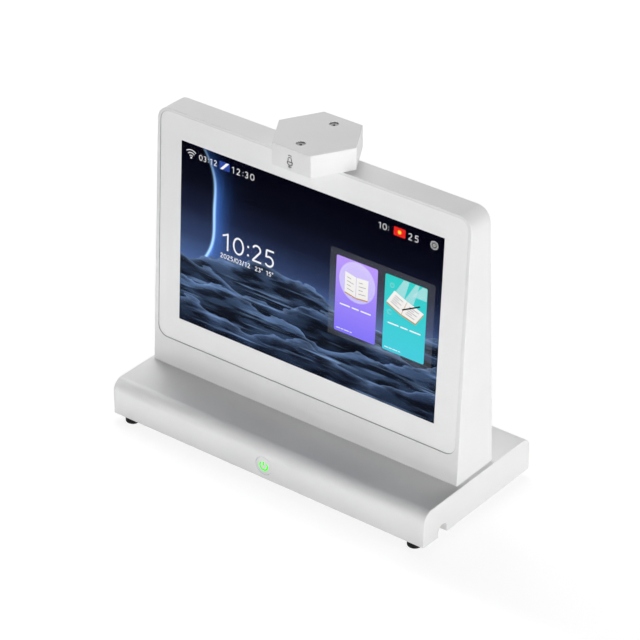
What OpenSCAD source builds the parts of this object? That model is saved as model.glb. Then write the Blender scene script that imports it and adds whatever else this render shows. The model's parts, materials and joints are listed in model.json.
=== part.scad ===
// Two-sided desktop translator: a wedge-shaped tower with a screen on each side,
// on a low base with a power button, and a six-sided microphone unit on top.
// Millimetres, +Z up. The origin is on the table, under the middle of the base.
// The side with the power button is the front and faces -Y.

/* [Screens] */
// Width of the lit area of each screen
screen_w = 217; // [180:0.5:240]
// Height of the lit area of each screen
screen_h = 135.6; // [115:0.1:150]
// White border round the lit area
bezel = 18; // [14:0.1:24]
// Corner radius of the cover glass
glass_corner_r = 7.8; // [4:0.1:10]
// Thickness of the cover glass
glass_t = 0.7; // [0.6:0.1:2]
// Thickness of the white print on the back of the glass
print_t = 0.1; // [0.05:0.01:0.2]
// Thickness of the adhesive tape that holds the glass
tape_t = 0.3; // [0.2:0.05:0.6]
// Width of the ledge that the tape sticks to
ledge_w = 5; // [3:0.5:6]
// Groove round the cover glass
glass_gap = 0.2; // [0.15:0.05:0.6]
// Space between the print and the liquid crystal cell
cell_gap = 0.3; // [0.1:0.05:0.5]
// Thickness of the liquid crystal cell
cell_t = 1.2; // [0.8:0.1:1.6]
// How far the cell reaches past the lit area on each side
cell_edge = 6.5; // [4:0.5:8]
// Thickness of the backlight tray
backlight_t = 2.6; // [1.6:0.1:3]

/* [Tower] */
// Height of the plain strip below the cover glass, along the face
apron_h = 21.1; // [18:0.1:30]
// Rim above the cover glass, along the face
top_rim = 2.2; // [1.5:0.05:4]
// Rim beside the cover glass, at the top of the tower
side_rim = 2.5; // [1.5:0.1:5]
// How much further each side stands out at the foot of the tower
side_draft = 1.05; // [0:0.05:3]
// Thickness of the tower at its foot
tower_bottom_t = 40; // [36:0.5:50]
// Thickness of the tower at its top
tower_top_t = 20; // [17:0.5:24]
// Radius of the two upper corners of the tower
tower_corner_r = 10; // [6:0.5:14]
// Thickness of the front and rear walls of the tower
tower_face_wall = 2.8; // [2.4:0.1:3]
// Thickness of the side and top walls of the tower
tower_wall = 2.2; // [1.8:0.1:3]

/* [Base] */
// Depth of the base, front to rear
base_d = 120; // [110:1:150]
// Height of the base without its feet
base_h = 26; // [24:0.5:34]
// How far the base stands out beside the tower
base_margin = 3.1; // [1:0.1:10]
// Radius of the long upper edges of the base
base_round = 8.5; // [4:0.5:10]
// Wall of the base shell
base_wall = 2.2; // [1.8:0.1:3]
// Thickness of the bottom plate
plate_t = 2; // [1.8:0.1:3]
// Gap round the bottom plate
plate_gap = 0.2; // [0.1:0.05:0.4]
// Diameter of a rubber foot
foot_d = 10.4; // [8:0.1:10.6]
// Height of a rubber foot
foot_h = 5.5; // [3:0.1:8]
// From the end of the base to the middle of a foot
foot_from_end = 11.7; // [9:0.1:16]
// From the long side of the base to the middle of a foot
foot_from_side = 6.3; // [5.3:0.1:9]

/* [Power button] */
// Diameter of the button cap
button_d = 13.2; // [11:0.1:14]
// Gap round the button cap
button_gap = 0.3; // [0.2:0.05:0.5]
// From the lower edge of the base to the middle of the button
button_up = 9.9; // [9.8:0.1:14]
// How far the button travels when pressed
button_travel = 0.8; // [0.4:0.1:1]

/* [Cable outlet] */
// Width of the outlet in the right end of the base
outlet_w = 9.4; // [6:0.1:12]
// Height of the outlet
outlet_h = 8; // [7.4:0.1:10]
// From the front face of the base to the middle of the outlet
outlet_back = 21; // [19:0.5:24]
// Length of the recess that takes the plug
bay_l = 40; // [34:1:46]
// Width of the recess
bay_w = 20; // [16:0.5:22]
// Height of the recess
bay_h = 11; // [9:0.5:14]
// Wall of the recess and of its channel
bay_wall = 1.5; // [1.2:0.1:2]

/* [Microphone unit] */
// Side of the hexagon
hex_side = 31.8; // [29:0.1:36]
// Height of the hexagon
hex_h = 16; // [14:0.1:20]
// How far the microphone unit sits in front of the tower's middle
hex_forward = 1.9; // [0:0.1:3]
// Wall of its housing
hex_wall = 2; // [1.6:0.1:2.4]
// From the middle to each sound port
port_out = 17.4; // [15:0.1:20]
// Diameter of the dish round a sound port
port_dish_d = 6.2; // [5:0.1:8]
// Depth of the dish
port_dish_h = 1; // [0.6:0.1:1.3]
// Diameter of the sound hole
port_hole_d = 2; // [1:0.1:3]

/* [Hidden] */
$fn = 64;
slip = 0.05;     // between a screw and its pilot hole
seat = 0.1;      // between pieces that only rest against each other
lamina = 0.05;   // between bonded layers
cut = 1;         // how far a cutter runs past the face it opens

// Heights
base_z = foot_h;
plate_top = base_z + plate_t;
base_top = base_z + base_h;
ceiling = base_top - base_wall;

// Tower
panel_w = screen_w + 2 * bezel;
panel_h = screen_h + 2 * bezel;
face_l = apron_h + panel_h + top_rim;
tilt = asin((tower_bottom_t - tower_top_t) / 2 / face_l);
tower_h = face_l * cos(tilt);
tower_top = base_top + tower_h;
tower_top_w = panel_w + 2 * side_rim;
tower_bottom_w = tower_top_w + 2 * side_draft;
draft = atan(side_draft / tower_h);
screen_v = apron_h + bezel + screen_h / 2;
panel_v = apron_h + panel_h / 2;

// Depths below the outer face of the tower
print_depth = glass_t + lamina;
tape_depth = print_depth + print_t + lamina;
recess_depth = tape_depth + tape_t;
cell_depth = print_depth + print_t + cell_gap;
tray_depth = cell_depth + cell_t;
display_depth = tray_depth + backlight_t;
tray_rim = 1;

// Base
base_w = tower_bottom_w + 2 * base_margin;
base_inner_w = base_w - 2 * base_wall;
base_inner_d = base_d - 2 * base_wall;
front_y = -base_d / 2;
foot_x = base_w / 2 - foot_from_end;
foot_y = base_d / 2 - foot_from_side;
foot_round = 1.2;
pad_l = foot_from_end + foot_d / 2 + 1;
pad_d = foot_from_side + foot_d / 2 + 1;
pad_t = 4;

// Screws that hold the bottom plate
plate_boss_r = 3.5;
plate_screw_r = 1.5;
plate_screw_l = 9;
plate_head_r = 2.9;
plate_head_h = 1.5;
end_boss_x = base_w / 2 - 15;
end_boss_y = 22;
side_boss_x = 30;
side_boss_y = base_d / 2 - 10;
plate_screw_places = [
  for (sx = [-1, 1], sy = [-1, 1]) each [
    [sx * end_boss_x, sy * end_boss_y], [sx * side_boss_x, sy * side_boss_y]
  ]
];

// Screws from inside the base into the foot of the tower
tower_boss_r = 4.5;
tower_boss_h = 14;
tower_boss_x = tower_bottom_w / 2 - tower_wall - 3.5;
tower_boss_y = 11;
tower_screw_r = 2;
tower_screw_l = 12;
tower_head_r = 3.6;
tower_head_h = 2.4;
tower_screw_places = [for (sx = [-1, 1], sy = [-1, 1]) [sx * tower_boss_x, sy * tower_boss_y]];

// Upright frame between the displays
frame_t = 1.5;
frame_w = panel_w - 2 * bezel;
frame_h = tower_h - 28;
flange_d = 12;
frame_screw_r = 1.5;
frame_screw_l = 5;
frame_screw_y = 7;
frame_head_r = 2.7;
frame_head_h = 1.8;
frame_screw_x = 80;
frame_screw_places = [for (i = [-1:1]) [i * frame_screw_x, frame_screw_y]];
frame_window = [36, 84];
frame_window_x = 78;
frame_window_r = 6;
frame_window_up = 0.55 * frame_h;
wire_slot_w = 50;
wire_slot_d = 12;
wire_slot_y = -9;

// Circuit boards on the frame
standoff_l = 3;
standoff_r = 2.5;
board_t = 1.6;
board_screw_r = 1.2;
board_head_r = 2.2;
board_head_h = 1.4;
main_board = [112, 68];
main_board_up = 16;
bridge_board = [84, 48];
bridge_board_up = 20;
board_hole_in = 5;
processor = [15, 15, 1.2];
processor_at = [18, 36];
sink = 28;
sink_base_t = 1.2;
sink_fin_t = 1.2;
sink_fin_h = 2.2;
sink_fins = 8;
memory = [10, 13, 1.1];
memory_first = [-20, 28];
memory_pitch = [14, 17];
memory_places = [
  for (i = [0, 1], j = [0, 1]) memory_first + [i * memory_pitch[0], j * memory_pitch[1]]
];
wireless = [14, 14, 2];
wireless_at = [-40, 50];
antenna = [36, 7, 0.3];
antenna_x = -40;
antenna_down = 12;
board_face = frame_t / 2 + standoff_l + board_t;
ribbon_t = 0.2;
ribbon_w = 22;
ribbon_x = -19;
ribbon_plug = [24, 4, 1.2];
stack_header = [20, 5];
stack_up = 44;
harness_plug = [9, 6, 4.2];
mic_plug = [7, 6, 3.2];

// Button, measured inward from the front face of the base
button_z = base_z + button_up;
cap_r = button_d / 2;
cap_disc = 2;
cap_skirt = 5.5;
cap_wall = 1.2;
tab_out = 1.6;
tab_h = 3;
tab_t = 1.2;
tab_in = base_wall + seat;
stem_r = 1.6;
stem_end = 7.2;
guide_clear = 0.25;
guide_wall = 0.75;
guide_back = 8.2;
guide_back_t = 1.3;
post_x = 13;
post_r = 3.2;
post_l = 4;
post_start = base_wall + post_l;
switch_w = 6;
switch_start = guide_back + seat;
switch_t = 3.5;
button_board_in = switch_start + switch_t;
button_board_t = 1.2;
button_board = [34, 13];
plunger_r = 1.7;
button_screw_r = 1.15;
led = [1.6, 1, 0.8];
led_up = 4.9;
led_hole_r = 0.8;
icon_r = 3.2;
icon_stroke = 1;
icon_gap = 55;
icon_t = 0.5;
spring_wire = 0.6;
spring_r = 4.5;
spring_turns = 5;

// Cable outlet and the recess behind it
outlet_y = front_y + outlet_back;
outlet_r = outlet_w / 2;
outlet_straight = outlet_h - outlet_r;
channel_l = 19;
bay_x1 = base_w / 2 - base_wall - plate_gap - channel_l;
bay_x0 = bay_x1 - bay_l;
socket_w = 9;
socket_h = 3.3;
socket_l = 7.4;
socket_wall = 0.3;
socket_tongue = [6.6, 0.7];
socket_z = base_z + 5.6;
io_board_t = 1;
io_board = [28, 20];
io_board_x = bay_x0 - bay_wall - seat - io_board[0] / 2;
io_board_z = socket_z - socket_h / 2 - io_board_t;
io_screw_r = 1;
io_head_r = 1.9;
io_head_h = 1.2;
io_post_r = 2.5;
io_screw_back = 8;
io_screw_side = 7;
io_screw_places = [
  for (sy = [-1, 1]) [io_board_x - io_screw_back, outlet_y + sy * io_screw_side]
];

// Speakers
speaker = [62, 32, 13];
speaker_from_end = 61;
speaker_x = base_w / 2 - speaker_from_end;
speaker_y = 24;
cone_r = 12;
cone_recess = 3;
gasket_t = 0.8;
slot_w = 1.6;
slot_l = 20;
slot_pitch = 4;
slots = 5;

// Microphone unit, with heights from the top of the tower
hex_inner = hex_side - hex_wall / cos(30);
hex_ceiling = hex_h - hex_wall;
mic_plate_t = 2;
mic_boss_r = 2.6;
mic_boss_x = 14;
mic_boss_y = 15.5;
mic_screw_r = 1.2;
mic_head_r = 2.2;
mic_head_h = 1.2;
mic_screw_l = 7;
mic_gasket_t = 1;
mic_gasket_r = 2.6;
mic_capsule = [4, 3, 1.1];
mic_board_t = 1.2;
mic_board = [22, 44];
mic_board_z = hex_ceiling - mic_gasket_t - mic_capsule[2] - mic_board_t;
mic_post_x = 8;
mic_post_r = 2;
mic_post_screw_r = 0.9;
mic_post_head_r = 1.7;
mic_post_head_h = 1.1;
mic_stem_r = 4;
mic_stem_bore_r = 2.6;
mic_flange_r = 8;
mic_flange_t = 2;
nut_across = 12;
nut_t = 4;
mic_boss_places = [for (sx = [-1, 1], sy = [-1, 1]) [sx * mic_boss_x, sy * mic_boss_y]];

// Inner wires. Their points are x, y, z from the foot of the tower.
harness_d = 3.6;
harness_x = 10;
harness_y = -board_face - harness_d / 2 - 0.25;
harness_end = main_board_up + 4;
harness_route = [
  [io_board_x - 2, outlet_y + 1, io_board_z + io_board_t + harness_d / 2 + 0.2 - base_top],
  [38, 0.88 * outlet_y, -18], [28, 0.6 * outlet_y, -14], [18, 0.36 * outlet_y, -9],
  [harness_x + 3, -10.6, -4],
  [harness_x + 1, -9.6, 1], [harness_x, -9, 6], [harness_x, -8.4, 11],
  [harness_x, harness_y - 0.2, 15], [harness_x, harness_y, harness_end]
];
mic_wire_d = 2.6;
mic_wire_y = -board_face - mic_wire_d / 2 - 0.2;
board_edge = main_board_up + main_board[1];
mic_wire_end = board_edge - 3;
mic_wire_route = [
  [0, 0, tower_h + mic_board_z - 0.4], [0, 0, tower_h + 2], [0, 0, tower_h - 6],
  [0, -0.6, tower_h - 11], [0, -1.8, tower_h - 16], [0, -2.4, tower_h - 22],
  [0, -2.4, tower_h - 60], [0, -2.4, board_edge + 16], [0, -3.4, board_edge + 10],
  [0, (mic_wire_y - 3.4) / 2 - 0.6, board_edge + 4], [0, mic_wire_y, board_edge],
  [0, mic_wire_y, mic_wire_end]
];

// Rectangle with round corners, centred.
module rounded_rect(w, h, r) {
  square([w - 2 * r, h], center = true);
  square([w, h - 2 * r], center = true);
  for (sx = [-1, 1], sy = [-1, 1])
    translate([sx * (w / 2 - r), sy * (h / 2 - r)]) circle(r);
}

// Block with its lower face at z = 0, centred in x and y.
module block(size) {
  translate([-size[0] / 2, -size[1] / 2, 0]) cube(size);
}

// Puts its children on the front or rear face of the tower: x across, y up the face from
// the foot of the tower, and z outward.
module on_face(side, v = 0) {
  rotate([0, 0, side == "front" ? 0 : 180])
    translate([0, -tower_bottom_t / 2, base_top]) rotate([90 - tilt, 0, 0])
      translate([0, v, 0]) children();
}

// A sheet between two depths below the face.
module layer(depth, t) {
  translate([0, 0, -depth - t]) linear_extrude(t) children();
}

// Puts its children on the button's axis: z runs inward from the front face of the base.
module on_button(s = 0) {
  translate([0, front_y + s, button_z]) rotate([-90, 0, 0]) children();
}

// Screw with its head's underside at z = 0 and its shank up along +Z.
module pan_screw(r, l, head_r, head_h) {
  difference() {
    union() {
      cylinder(r = r, h = l);
      translate([0, 0, -head_h]) cylinder(r = head_r, h = head_h);
    }
    cross_recess(head_r, -head_h);
  }
}

// Screw with a countersunk head whose face is at z = 0 and its shank up along +Z.
module countersunk_screw(r, l, head_r, head_h) {
  difference() {
    union() {
      cylinder(r = r, h = l);
      cylinder(r1 = head_r, r2 = r, h = head_h);
    }
    cross_recess(head_r, 0);
  }
}

module cross_recess(head_r, z) {
  for (a = [0, 90]) rotate([0, 0, a])
    translate([0, 0, z - cut]) block([1.1 * head_r, 0.28 * head_r, cut + 0.35 * head_r]);
}

// Closed tube of the given diameter along a list of points.
module tube(points, d, sides = 8) {
  n = len(points);
  tangents = [
    for (i = [0:n - 1]) unit(points[min(i + 1, n - 1)] - points[max(i - 1, 0)])
  ];
  rings = [
    for (i = [0:n - 1])
      let (t = tangents[i], a = unit(cross(t, [1, 0.2, 0])), b = cross(t, a))
        for (k = [0:sides - 1])
          let (w = 360 * k / sides) points[i] + d / 2 * (cos(w) * a + sin(w) * b)
  ];
  walls = [
    for (i = [0:n - 2], k = [0:sides - 1])
      let (j = (k + 1) % sides, p = i * sides, q = p + sides)
        each [[p + k, q + k, q + j], [p + k, q + j, p + j]]
  ];
  ends = [
    for (k = [1:sides - 2])
      each [[0, k, k + 1], [(n - 1) * sides, (n - 1) * sides + k + 1, (n - 1) * sides + k]]
  ];
  polyhedron(rings, concat(walls, ends));
}

function unit(v) = v / norm(v);

// Base

// Outline of the base seen from its end, grown inward by a wall.
module base_outline(wall) {
  r = base_round - wall;
  half = base_d / 2 - wall;
  top = base_h - wall;
  translate([-half, -cut * sign(wall)]) square([2 * half, top - r + cut * sign(wall)]);
  translate([-half + r, 0]) square([2 * half - 2 * r, top]);
  for (s = [-1, 1]) translate([s * (half - r), top - r]) circle(r);
}

module base_block(wall) {
  translate([0, 0, base_z]) rotate([90, 0, 90])
    linear_extrude(base_w - 2 * wall, center = true) base_outline(wall);
}

// Blocks at the four lower corners of the base, for the feet, starting inside its outer faces.
module corner_pads(grow, h, inside) {
  for (sx = [0, 1], sy = [0, 1]) mirror([sx, 0, 0]) mirror([0, sy, 0])
    translate([base_w / 2 - pad_l - grow, base_d / 2 - pad_d - grow, base_z])
      cube([pad_l + grow - inside, pad_d + grow - inside, h]);
}

// Arched tunnel of the cable outlet, from one x to another.
module outlet_tunnel(x0, x1, grow = 0, below = cut) {
  r = outlet_r + grow;
  translate([x0, outlet_y, base_z]) rotate([90, 0, 90]) linear_extrude(x1 - x0) {
    translate([-r, -below]) square([2 * r, outlet_straight + below]);
    translate([0, outlet_straight]) intersection() {
      circle(r);
      translate([-r, 0]) square([2 * r, r]);
    }
  }
}

module base_shell() {
  color("whitesmoke") difference() {
    union() {
      difference() {
        base_block(0);
        base_block(base_wall);
      }
      for (p = plate_screw_places)
        translate([p[0], p[1], plate_top + seat])
          cylinder(r = plate_boss_r, h = ceiling - plate_top);
      corner_pads(0, pad_t, base_wall / 2);
      for (sx = [-1, 1]) translate([sx * post_x, 0, 0])
        on_button(base_wall / 2) cylinder(r = post_r, h = post_start - base_wall / 2);
    }
    for (p = plate_screw_places)
      translate([p[0], p[1], base_z]) cylinder(r = plate_screw_r + slip, h = plate_screw_l + plate_t);
    for (p = tower_screw_places)
      translate([p[0], p[1], ceiling - cut]) cylinder(r = tower_screw_r + 0.2, h = base_wall + 2 * cut);
    for (p = frame_screw_places)
      translate([p[0], p[1], ceiling - cut]) cylinder(r = frame_screw_r + 0.2, h = base_wall + 2 * cut);
    for (sx = [-1, 1]) translate([sx * post_x, 0, 0])
      on_button(base_wall + 0.8) cylinder(r = button_screw_r + slip, h = post_start);
    translate([0, wire_slot_y, ceiling - cut])
      linear_extrude(base_wall + 2 * cut) rounded_rect(wire_slot_w, wire_slot_d, 3);
    on_button(-cut) cylinder(r = cap_r + button_gap, h = base_wall + 2 * cut);
    outlet_tunnel(base_w / 2 - base_wall - cut, base_w / 2 + cut);
  }
}

module base_bottom_plate() {
  plate_w = base_inner_w - 2 * plate_gap;
  plate_d = base_inner_d - 2 * plate_gap;
  color("gainsboro") difference() {
    union() {
      translate([0, 0, base_z]) block([plate_w, plate_d, plate_t]);
      translate([(bay_x0 + bay_x1) / 2, outlet_y, base_z])
        block([bay_l + 2 * bay_wall, bay_w + 2 * bay_wall, bay_h + bay_wall]);
      outlet_tunnel(bay_x1, plate_w / 2, grow = bay_wall, below = 0);
      for (p = io_screw_places)
        translate([p[0], p[1], base_z]) cylinder(r = io_post_r, h = io_board_z - base_z);
    }
    translate([(bay_x0 + bay_x1) / 2, outlet_y, base_z - cut]) block([bay_l, bay_w, bay_h + cut]);
    outlet_tunnel(bay_x1 - cut, plate_w / 2 + cut);
    translate([0, 0, -cut]) corner_pads(plate_gap, plate_t + 2 * cut, 0);
    translate([bay_x0, outlet_y, socket_z]) rotate([0, -90, 0]) translate([0, 0, -cut])
      linear_extrude(bay_wall + 2 * cut)
        rounded_rect(socket_h + 2 * seat, socket_w + 2 * seat, socket_h / 2);
    for (p = plate_screw_places) translate([p[0], p[1], base_z]) {
      translate([0, 0, -cut]) cylinder(r = plate_screw_r + 0.2, h = plate_t + 2 * cut);
      cylinder(r1 = plate_head_r + seat, r2 = plate_screw_r + seat, h = plate_head_h);
    }
    for (p = io_screw_places) translate([p[0], p[1], plate_top])
      cylinder(r = io_screw_r + slip, h = base_h);
    for (sx = [-1, 1], i = [0:slots - 1])
      translate([sx * speaker_x + (i - (slots - 1) / 2) * slot_pitch, speaker_y, base_z - cut])
        linear_extrude(plate_t + 2 * cut) rounded_rect(slot_w, slot_l, slot_w / 2 - 0.01);
  }
}

module bottom_plate_screws() {
  color("dimgray") for (p = plate_screw_places)
    translate([p[0], p[1], base_z])
      countersunk_screw(plate_screw_r, plate_screw_l, plate_head_r, plate_head_h);
}

// Soft cylinder with a rounded lower edge.
module foot(sx, sy) {
  r = foot_d / 2;
  color("black") translate([sx * foot_x, sy * foot_y, 0]) rotate_extrude() {
    square([r - foot_round, foot_h]);
    translate([0, foot_round]) square([r, foot_h - foot_round]);
    translate([r - foot_round, foot_round]) intersection() {
      circle(foot_round);
      translate([0, -foot_round]) square(foot_round);
    }
  }
}

// Power button

// The power sign, standing on z = 0: an open ring and a bar.
module power_sign(h, grow = 0) {
  start = icon_gap - 90;
  rotate([0, 0, start]) rotate_extrude(angle = 360 - 2 * icon_gap)
    translate([icon_r - icon_stroke / 2 - grow, 0]) square([icon_stroke + 2 * grow, h]);
  for (a = [start, -start - 180]) rotate([0, 0, a])
    translate([icon_r, 0, 0]) cylinder(r = icon_stroke / 2 + grow, h = h);
  translate([-icon_stroke / 2 - grow, -icon_r - grow, 0])
    cube([icon_stroke + 2 * grow, icon_r - 0.3 + 2 * grow, h]);
}

module power_button_cap() {
  color("white") on_button() difference() {
    union() {
      difference() {
        cylinder(r = cap_r, h = cap_skirt);
        translate([0, 0, cap_disc]) cylinder(r = cap_r - cap_wall, h = cap_skirt);
      }
      cylinder(r = stem_r, h = stem_end);
      for (s = [-1, 1]) translate([s * (cap_r + (tab_out - cap_wall) / 2), 0, tab_in])
        block([tab_out + cap_wall, tab_h, tab_t]);
    }
    translate([0, 0, -cut]) power_sign(cut + icon_t + slip, slip);
  }
}

module power_icon_lens() {
  color("limegreen") on_button() power_sign(icon_t);
}

module button_guide() {
  inner = cap_r + guide_clear;
  color("lightgray") on_button() difference() {
    union() {
      translate([0, 0, base_wall]) cylinder(r = inner + guide_wall, h = button_board_in - base_wall);
      for (s = [-1, 1]) {
        translate([s * post_x, 0, post_start]) cylinder(r = post_r, h = button_board_in - post_start);
        translate([s * (inner + post_x) / 2, 0, post_start])
          block([post_x - inner, 2 * post_r - 1, button_board_in - post_start]);
      }
    }
    translate([0, 0, base_wall - cut]) cylinder(r = inner, h = guide_back - base_wall + cut);
    translate([0, 0, guide_back + guide_back_t]) cylinder(r = inner, h = button_board_in);
    translate([0, 0, guide_back - cut])
      block([switch_w + 4 * seat, switch_w + 4 * seat, guide_back_t + 2 * cut]);
    translate([0, 0, base_wall - cut])
      block([2 * (cap_r + tab_out + guide_clear), tab_h + 2 * guide_clear,
             tab_in + tab_t + button_travel + guide_clear - base_wall + cut]);
    for (s = [-1, 1]) {
      translate([s * post_x, 0, 0]) cylinder(r = button_screw_r + slip, h = button_board_in + cut);
      translate([0, s * led_up, guide_back - cut])
        cylinder(r = led_hole_r, h = guide_back_t + 2 * cut);
    }
  }
}

// Return spring: one unbroken helix between the cap and the back of the guide.
module button_spring() {
  steps = 8 * spring_turns;
  length = guide_back - cap_disc - spring_wire - 2 * seat;
  helix = [
    for (i = [0:steps])
      [spring_r * cos(45 * i), spring_r * sin(45 * i), length * i / steps]
  ];
  color("silver") on_button(cap_disc + spring_wire / 2 + seat) tube(helix, spring_wire, 6);
}

module tact_switch_body() {
  color("black") on_button(switch_start) difference() {
    block([switch_w, switch_w, switch_t]);
    translate([0, 0, -cut]) cylinder(r = plunger_r + 0.15, h = switch_t + cut - 0.5);
  }
}

module tact_switch_plunger() {
  color("saddlebrown") on_button(stem_end)
    cylinder(r = plunger_r, h = switch_start + 1.6 - stem_end);
}

module button_board() {
  color("darkgreen") on_button(button_board_in) difference() {
    block([button_board[0], button_board[1], button_board_t]);
    for (s = [-1, 1]) translate([s * post_x, 0, -cut])
      cylinder(r = button_screw_r + 0.2, h = button_board_t + 2 * cut);
  }
}

module button_leds() {
  color("palegreen") for (s = [-1, 1])
    on_button(button_board_in - led[2]) translate([0, s * led_up, 0]) block(led);
}

module button_screws() {
  color("dimgray") for (s = [-1, 1]) translate([s * post_x, 0, 0])
    on_button(button_board_in + button_board_t) rotate([180, 0, 0])
      pan_screw(button_screw_r, button_board_in + button_board_t - base_wall - 1.2,
                board_head_r, board_head_h);
}

// Socket and its board

module io_board() {
  color("darkgreen") difference() {
    translate([io_board_x, outlet_y, io_board_z]) block([io_board[0], io_board[1], io_board_t]);
    for (p = io_screw_places) translate([p[0], p[1], io_board_z - cut])
      cylinder(r = io_screw_r + 0.2, h = io_board_t + 2 * cut);
  }
}

module io_board_screws() {
  color("dimgray") for (p = io_screw_places)
    translate([p[0], p[1], io_board_z + io_board_t]) rotate([180, 0, 0])
      pan_screw(io_screw_r, io_board_z + io_board_t - plate_top - slip, io_head_r, io_head_h);
}

// Flat socket with round ends and a tongue, its mouth towards the cable outlet.
module usb_c_socket() {
  color("silver") translate([bay_x0 - seat - socket_l, outlet_y, socket_z]) rotate([90, 0, 90]) {
    difference() {
      linear_extrude(socket_l) rounded_rect(socket_w, socket_h, socket_h / 2 - 0.01);
      translate([0, 0, 1]) linear_extrude(socket_l)
        rounded_rect(socket_w - 2 * socket_wall, socket_h - 2 * socket_wall,
                     socket_h / 2 - socket_wall - 0.01);
    }
    translate([0, 0, 0.5]) linear_extrude(socket_l - 1.5) square(socket_tongue, center = true);
  }
}

// Speakers

module speaker_box(sx) {
  color("black") translate([sx * speaker_x, speaker_y, plate_top + gasket_t]) difference() {
    block(speaker);
    translate([0, 0, -cut]) cylinder(r = cone_r + 0.2, h = cone_recess + cut);
  }
}

module speaker_cones() {
  color("dimgray") for (sx = [-1, 1])
    translate([sx * speaker_x, speaker_y, plate_top + gasket_t + 0.4]) difference() {
      cylinder(r = cone_r, h = cone_recess - 0.4);
      translate([0, 0, -0.1]) cylinder(r1 = cone_r - 1.5, r2 = 4, h = 1.8);
    }
}

module speaker_gaskets() {
  color("darkslategray") for (sx = [-1, 1])
    translate([sx * speaker_x, speaker_y, plate_top]) linear_extrude(gasket_t) difference() {
      rounded_rect(speaker[0], speaker[1], 2);
      circle(cone_r + 1);
    }
}

// Tower

// Half the thickness of the tower at a height above its foot.
function half_t(z) = tower_bottom_t / 2 - z * tan(tilt);

// The tower seen from its end, from a height below zero to the top, less a face wall.
module tower_profile(wall, low, high) {
  w = wall / cos(tilt);
  polygon([
    [-half_t(low) + w, low], [half_t(low) - w, low],
    [half_t(high) - w, high], [-half_t(high) + w, high]
  ]);
}

// The tower seen from the front, with round upper corners, less a wall.
module tower_outline(wall, low) {
  r = tower_corner_r - wall;
  high = tower_h - wall;
  zc = high - r;
  side = tower_bottom_w / 2 - wall / cos(draft);
  xc = side - zc * tan(draft) - r / cos(draft);
  foot_half = side - low * tan(draft);
  polygon([
    [-foot_half, low], [foot_half, low],
    [xc + r * cos(draft), zc + r * sin(draft)], [xc, high],
    [-xc, high], [-xc - r * cos(draft), zc + r * sin(draft)]
  ]);
  for (s = [-1, 1]) translate([s * xc, zc]) circle(r);
}

module tower_solid(face_wall, wall, low) {
  translate([0, 0, base_top]) intersection() {
    rotate([90, 0, 90]) linear_extrude(2 * tower_bottom_w, center = true)
      tower_profile(face_wall, low, tower_h - wall);
    rotate([90, 0, 0]) linear_extrude(2 * tower_bottom_t, center = true) tower_outline(wall, low);
  }
}

module tower_shell() {
  color("whitesmoke") difference() {
    union() {
      difference() {
        tower_solid(0, 0, 0);
        tower_solid(tower_face_wall, tower_wall, -cut);
      }
      for (p = tower_screw_places)
        translate([p[0], p[1], base_top]) cylinder(r = tower_boss_r, h = tower_boss_h);
    }
    for (side = ["front", "rear"]) on_face(side, panel_v) {
      layer(-cut, recess_depth + cut)
        rounded_rect(panel_w + 2 * glass_gap, panel_h + 2 * glass_gap, glass_corner_r + glass_gap);
      layer(-cut, tower_face_wall + 2 * cut)
        rounded_rect(panel_w - 2 * ledge_w, panel_h - 2 * ledge_w, glass_corner_r - ledge_w / 2);
    }
    for (p = tower_screw_places)
      translate([p[0], p[1], base_top - cut])
        cylinder(r = tower_screw_r + slip, h = tower_screw_l + cut);
    translate([0, 0, tower_top - tower_wall - cut])
      cylinder(r = mic_stem_r + seat, h = tower_wall + 2 * cut);
  }
}

module tower_screws() {
  color("dimgray") for (p = tower_screw_places)
    translate([p[0], p[1], ceiling]) pan_screw(tower_screw_r, tower_screw_l, tower_head_r, tower_head_h);
}

// Displays

module cover_glass(side) {
  color("lightblue", 0.4) on_face(side, panel_v) layer(0, glass_t)
    rounded_rect(panel_w, panel_h, glass_corner_r);
}

module bezel_print(side) {
  color("white") on_face(side, panel_v) layer(print_depth, print_t) difference() {
    rounded_rect(panel_w, panel_h, glass_corner_r);
    square([screen_w, screen_h], center = true);
  }
}

module glass_tape(side) {
  color("black") on_face(side, panel_v) layer(tape_depth, tape_t) difference() {
    rounded_rect(panel_w - 0.6, panel_h - 0.6, glass_corner_r - 0.3);
    rounded_rect(panel_w - 2 * ledge_w + 0.6, panel_h - 2 * ledge_w + 0.6, glass_corner_r - ledge_w / 2);
  }
}

module lcd_cell(side) {
  color("midnightblue") on_face(side, screen_v) layer(cell_depth, cell_t)
    square([screen_w + 2 * cell_edge, screen_h + 2 * cell_edge], center = true);
}

module backlight(side) {
  grow = 2 * (cell_edge + tray_rim);
  color("silver") on_face(side, screen_v) layer(tray_depth, backlight_t)
    rounded_rect(screen_w + grow, screen_h + grow, 1.5);
}

// Flat cable from the back of a display to the board behind it.
module display_ribbon(side, end_up) {
  start_up = apron_h + bezel;
  y0 = -half_t(start_up) + display_depth / cos(tilt) + ribbon_t;
  y1 = -board_face - 2 * ribbon_t;
  path = [
    [y0, start_up], [y0, start_up - 6], [y1 - 2, end_up + 6], [y1, end_up + 3], [y1, end_up]
  ];
  back = [for (i = [len(path) - 1:-1:0]) path[i] + [ribbon_t, 0]];
  color("darkorange") rotate([0, 0, side == "front" ? 0 : 180]) translate([ribbon_x, 0, base_top])
    rotate([90, 0, 90]) linear_extrude(ribbon_w, center = true) polygon(concat(path, back));
}

// Frame and boards

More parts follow.
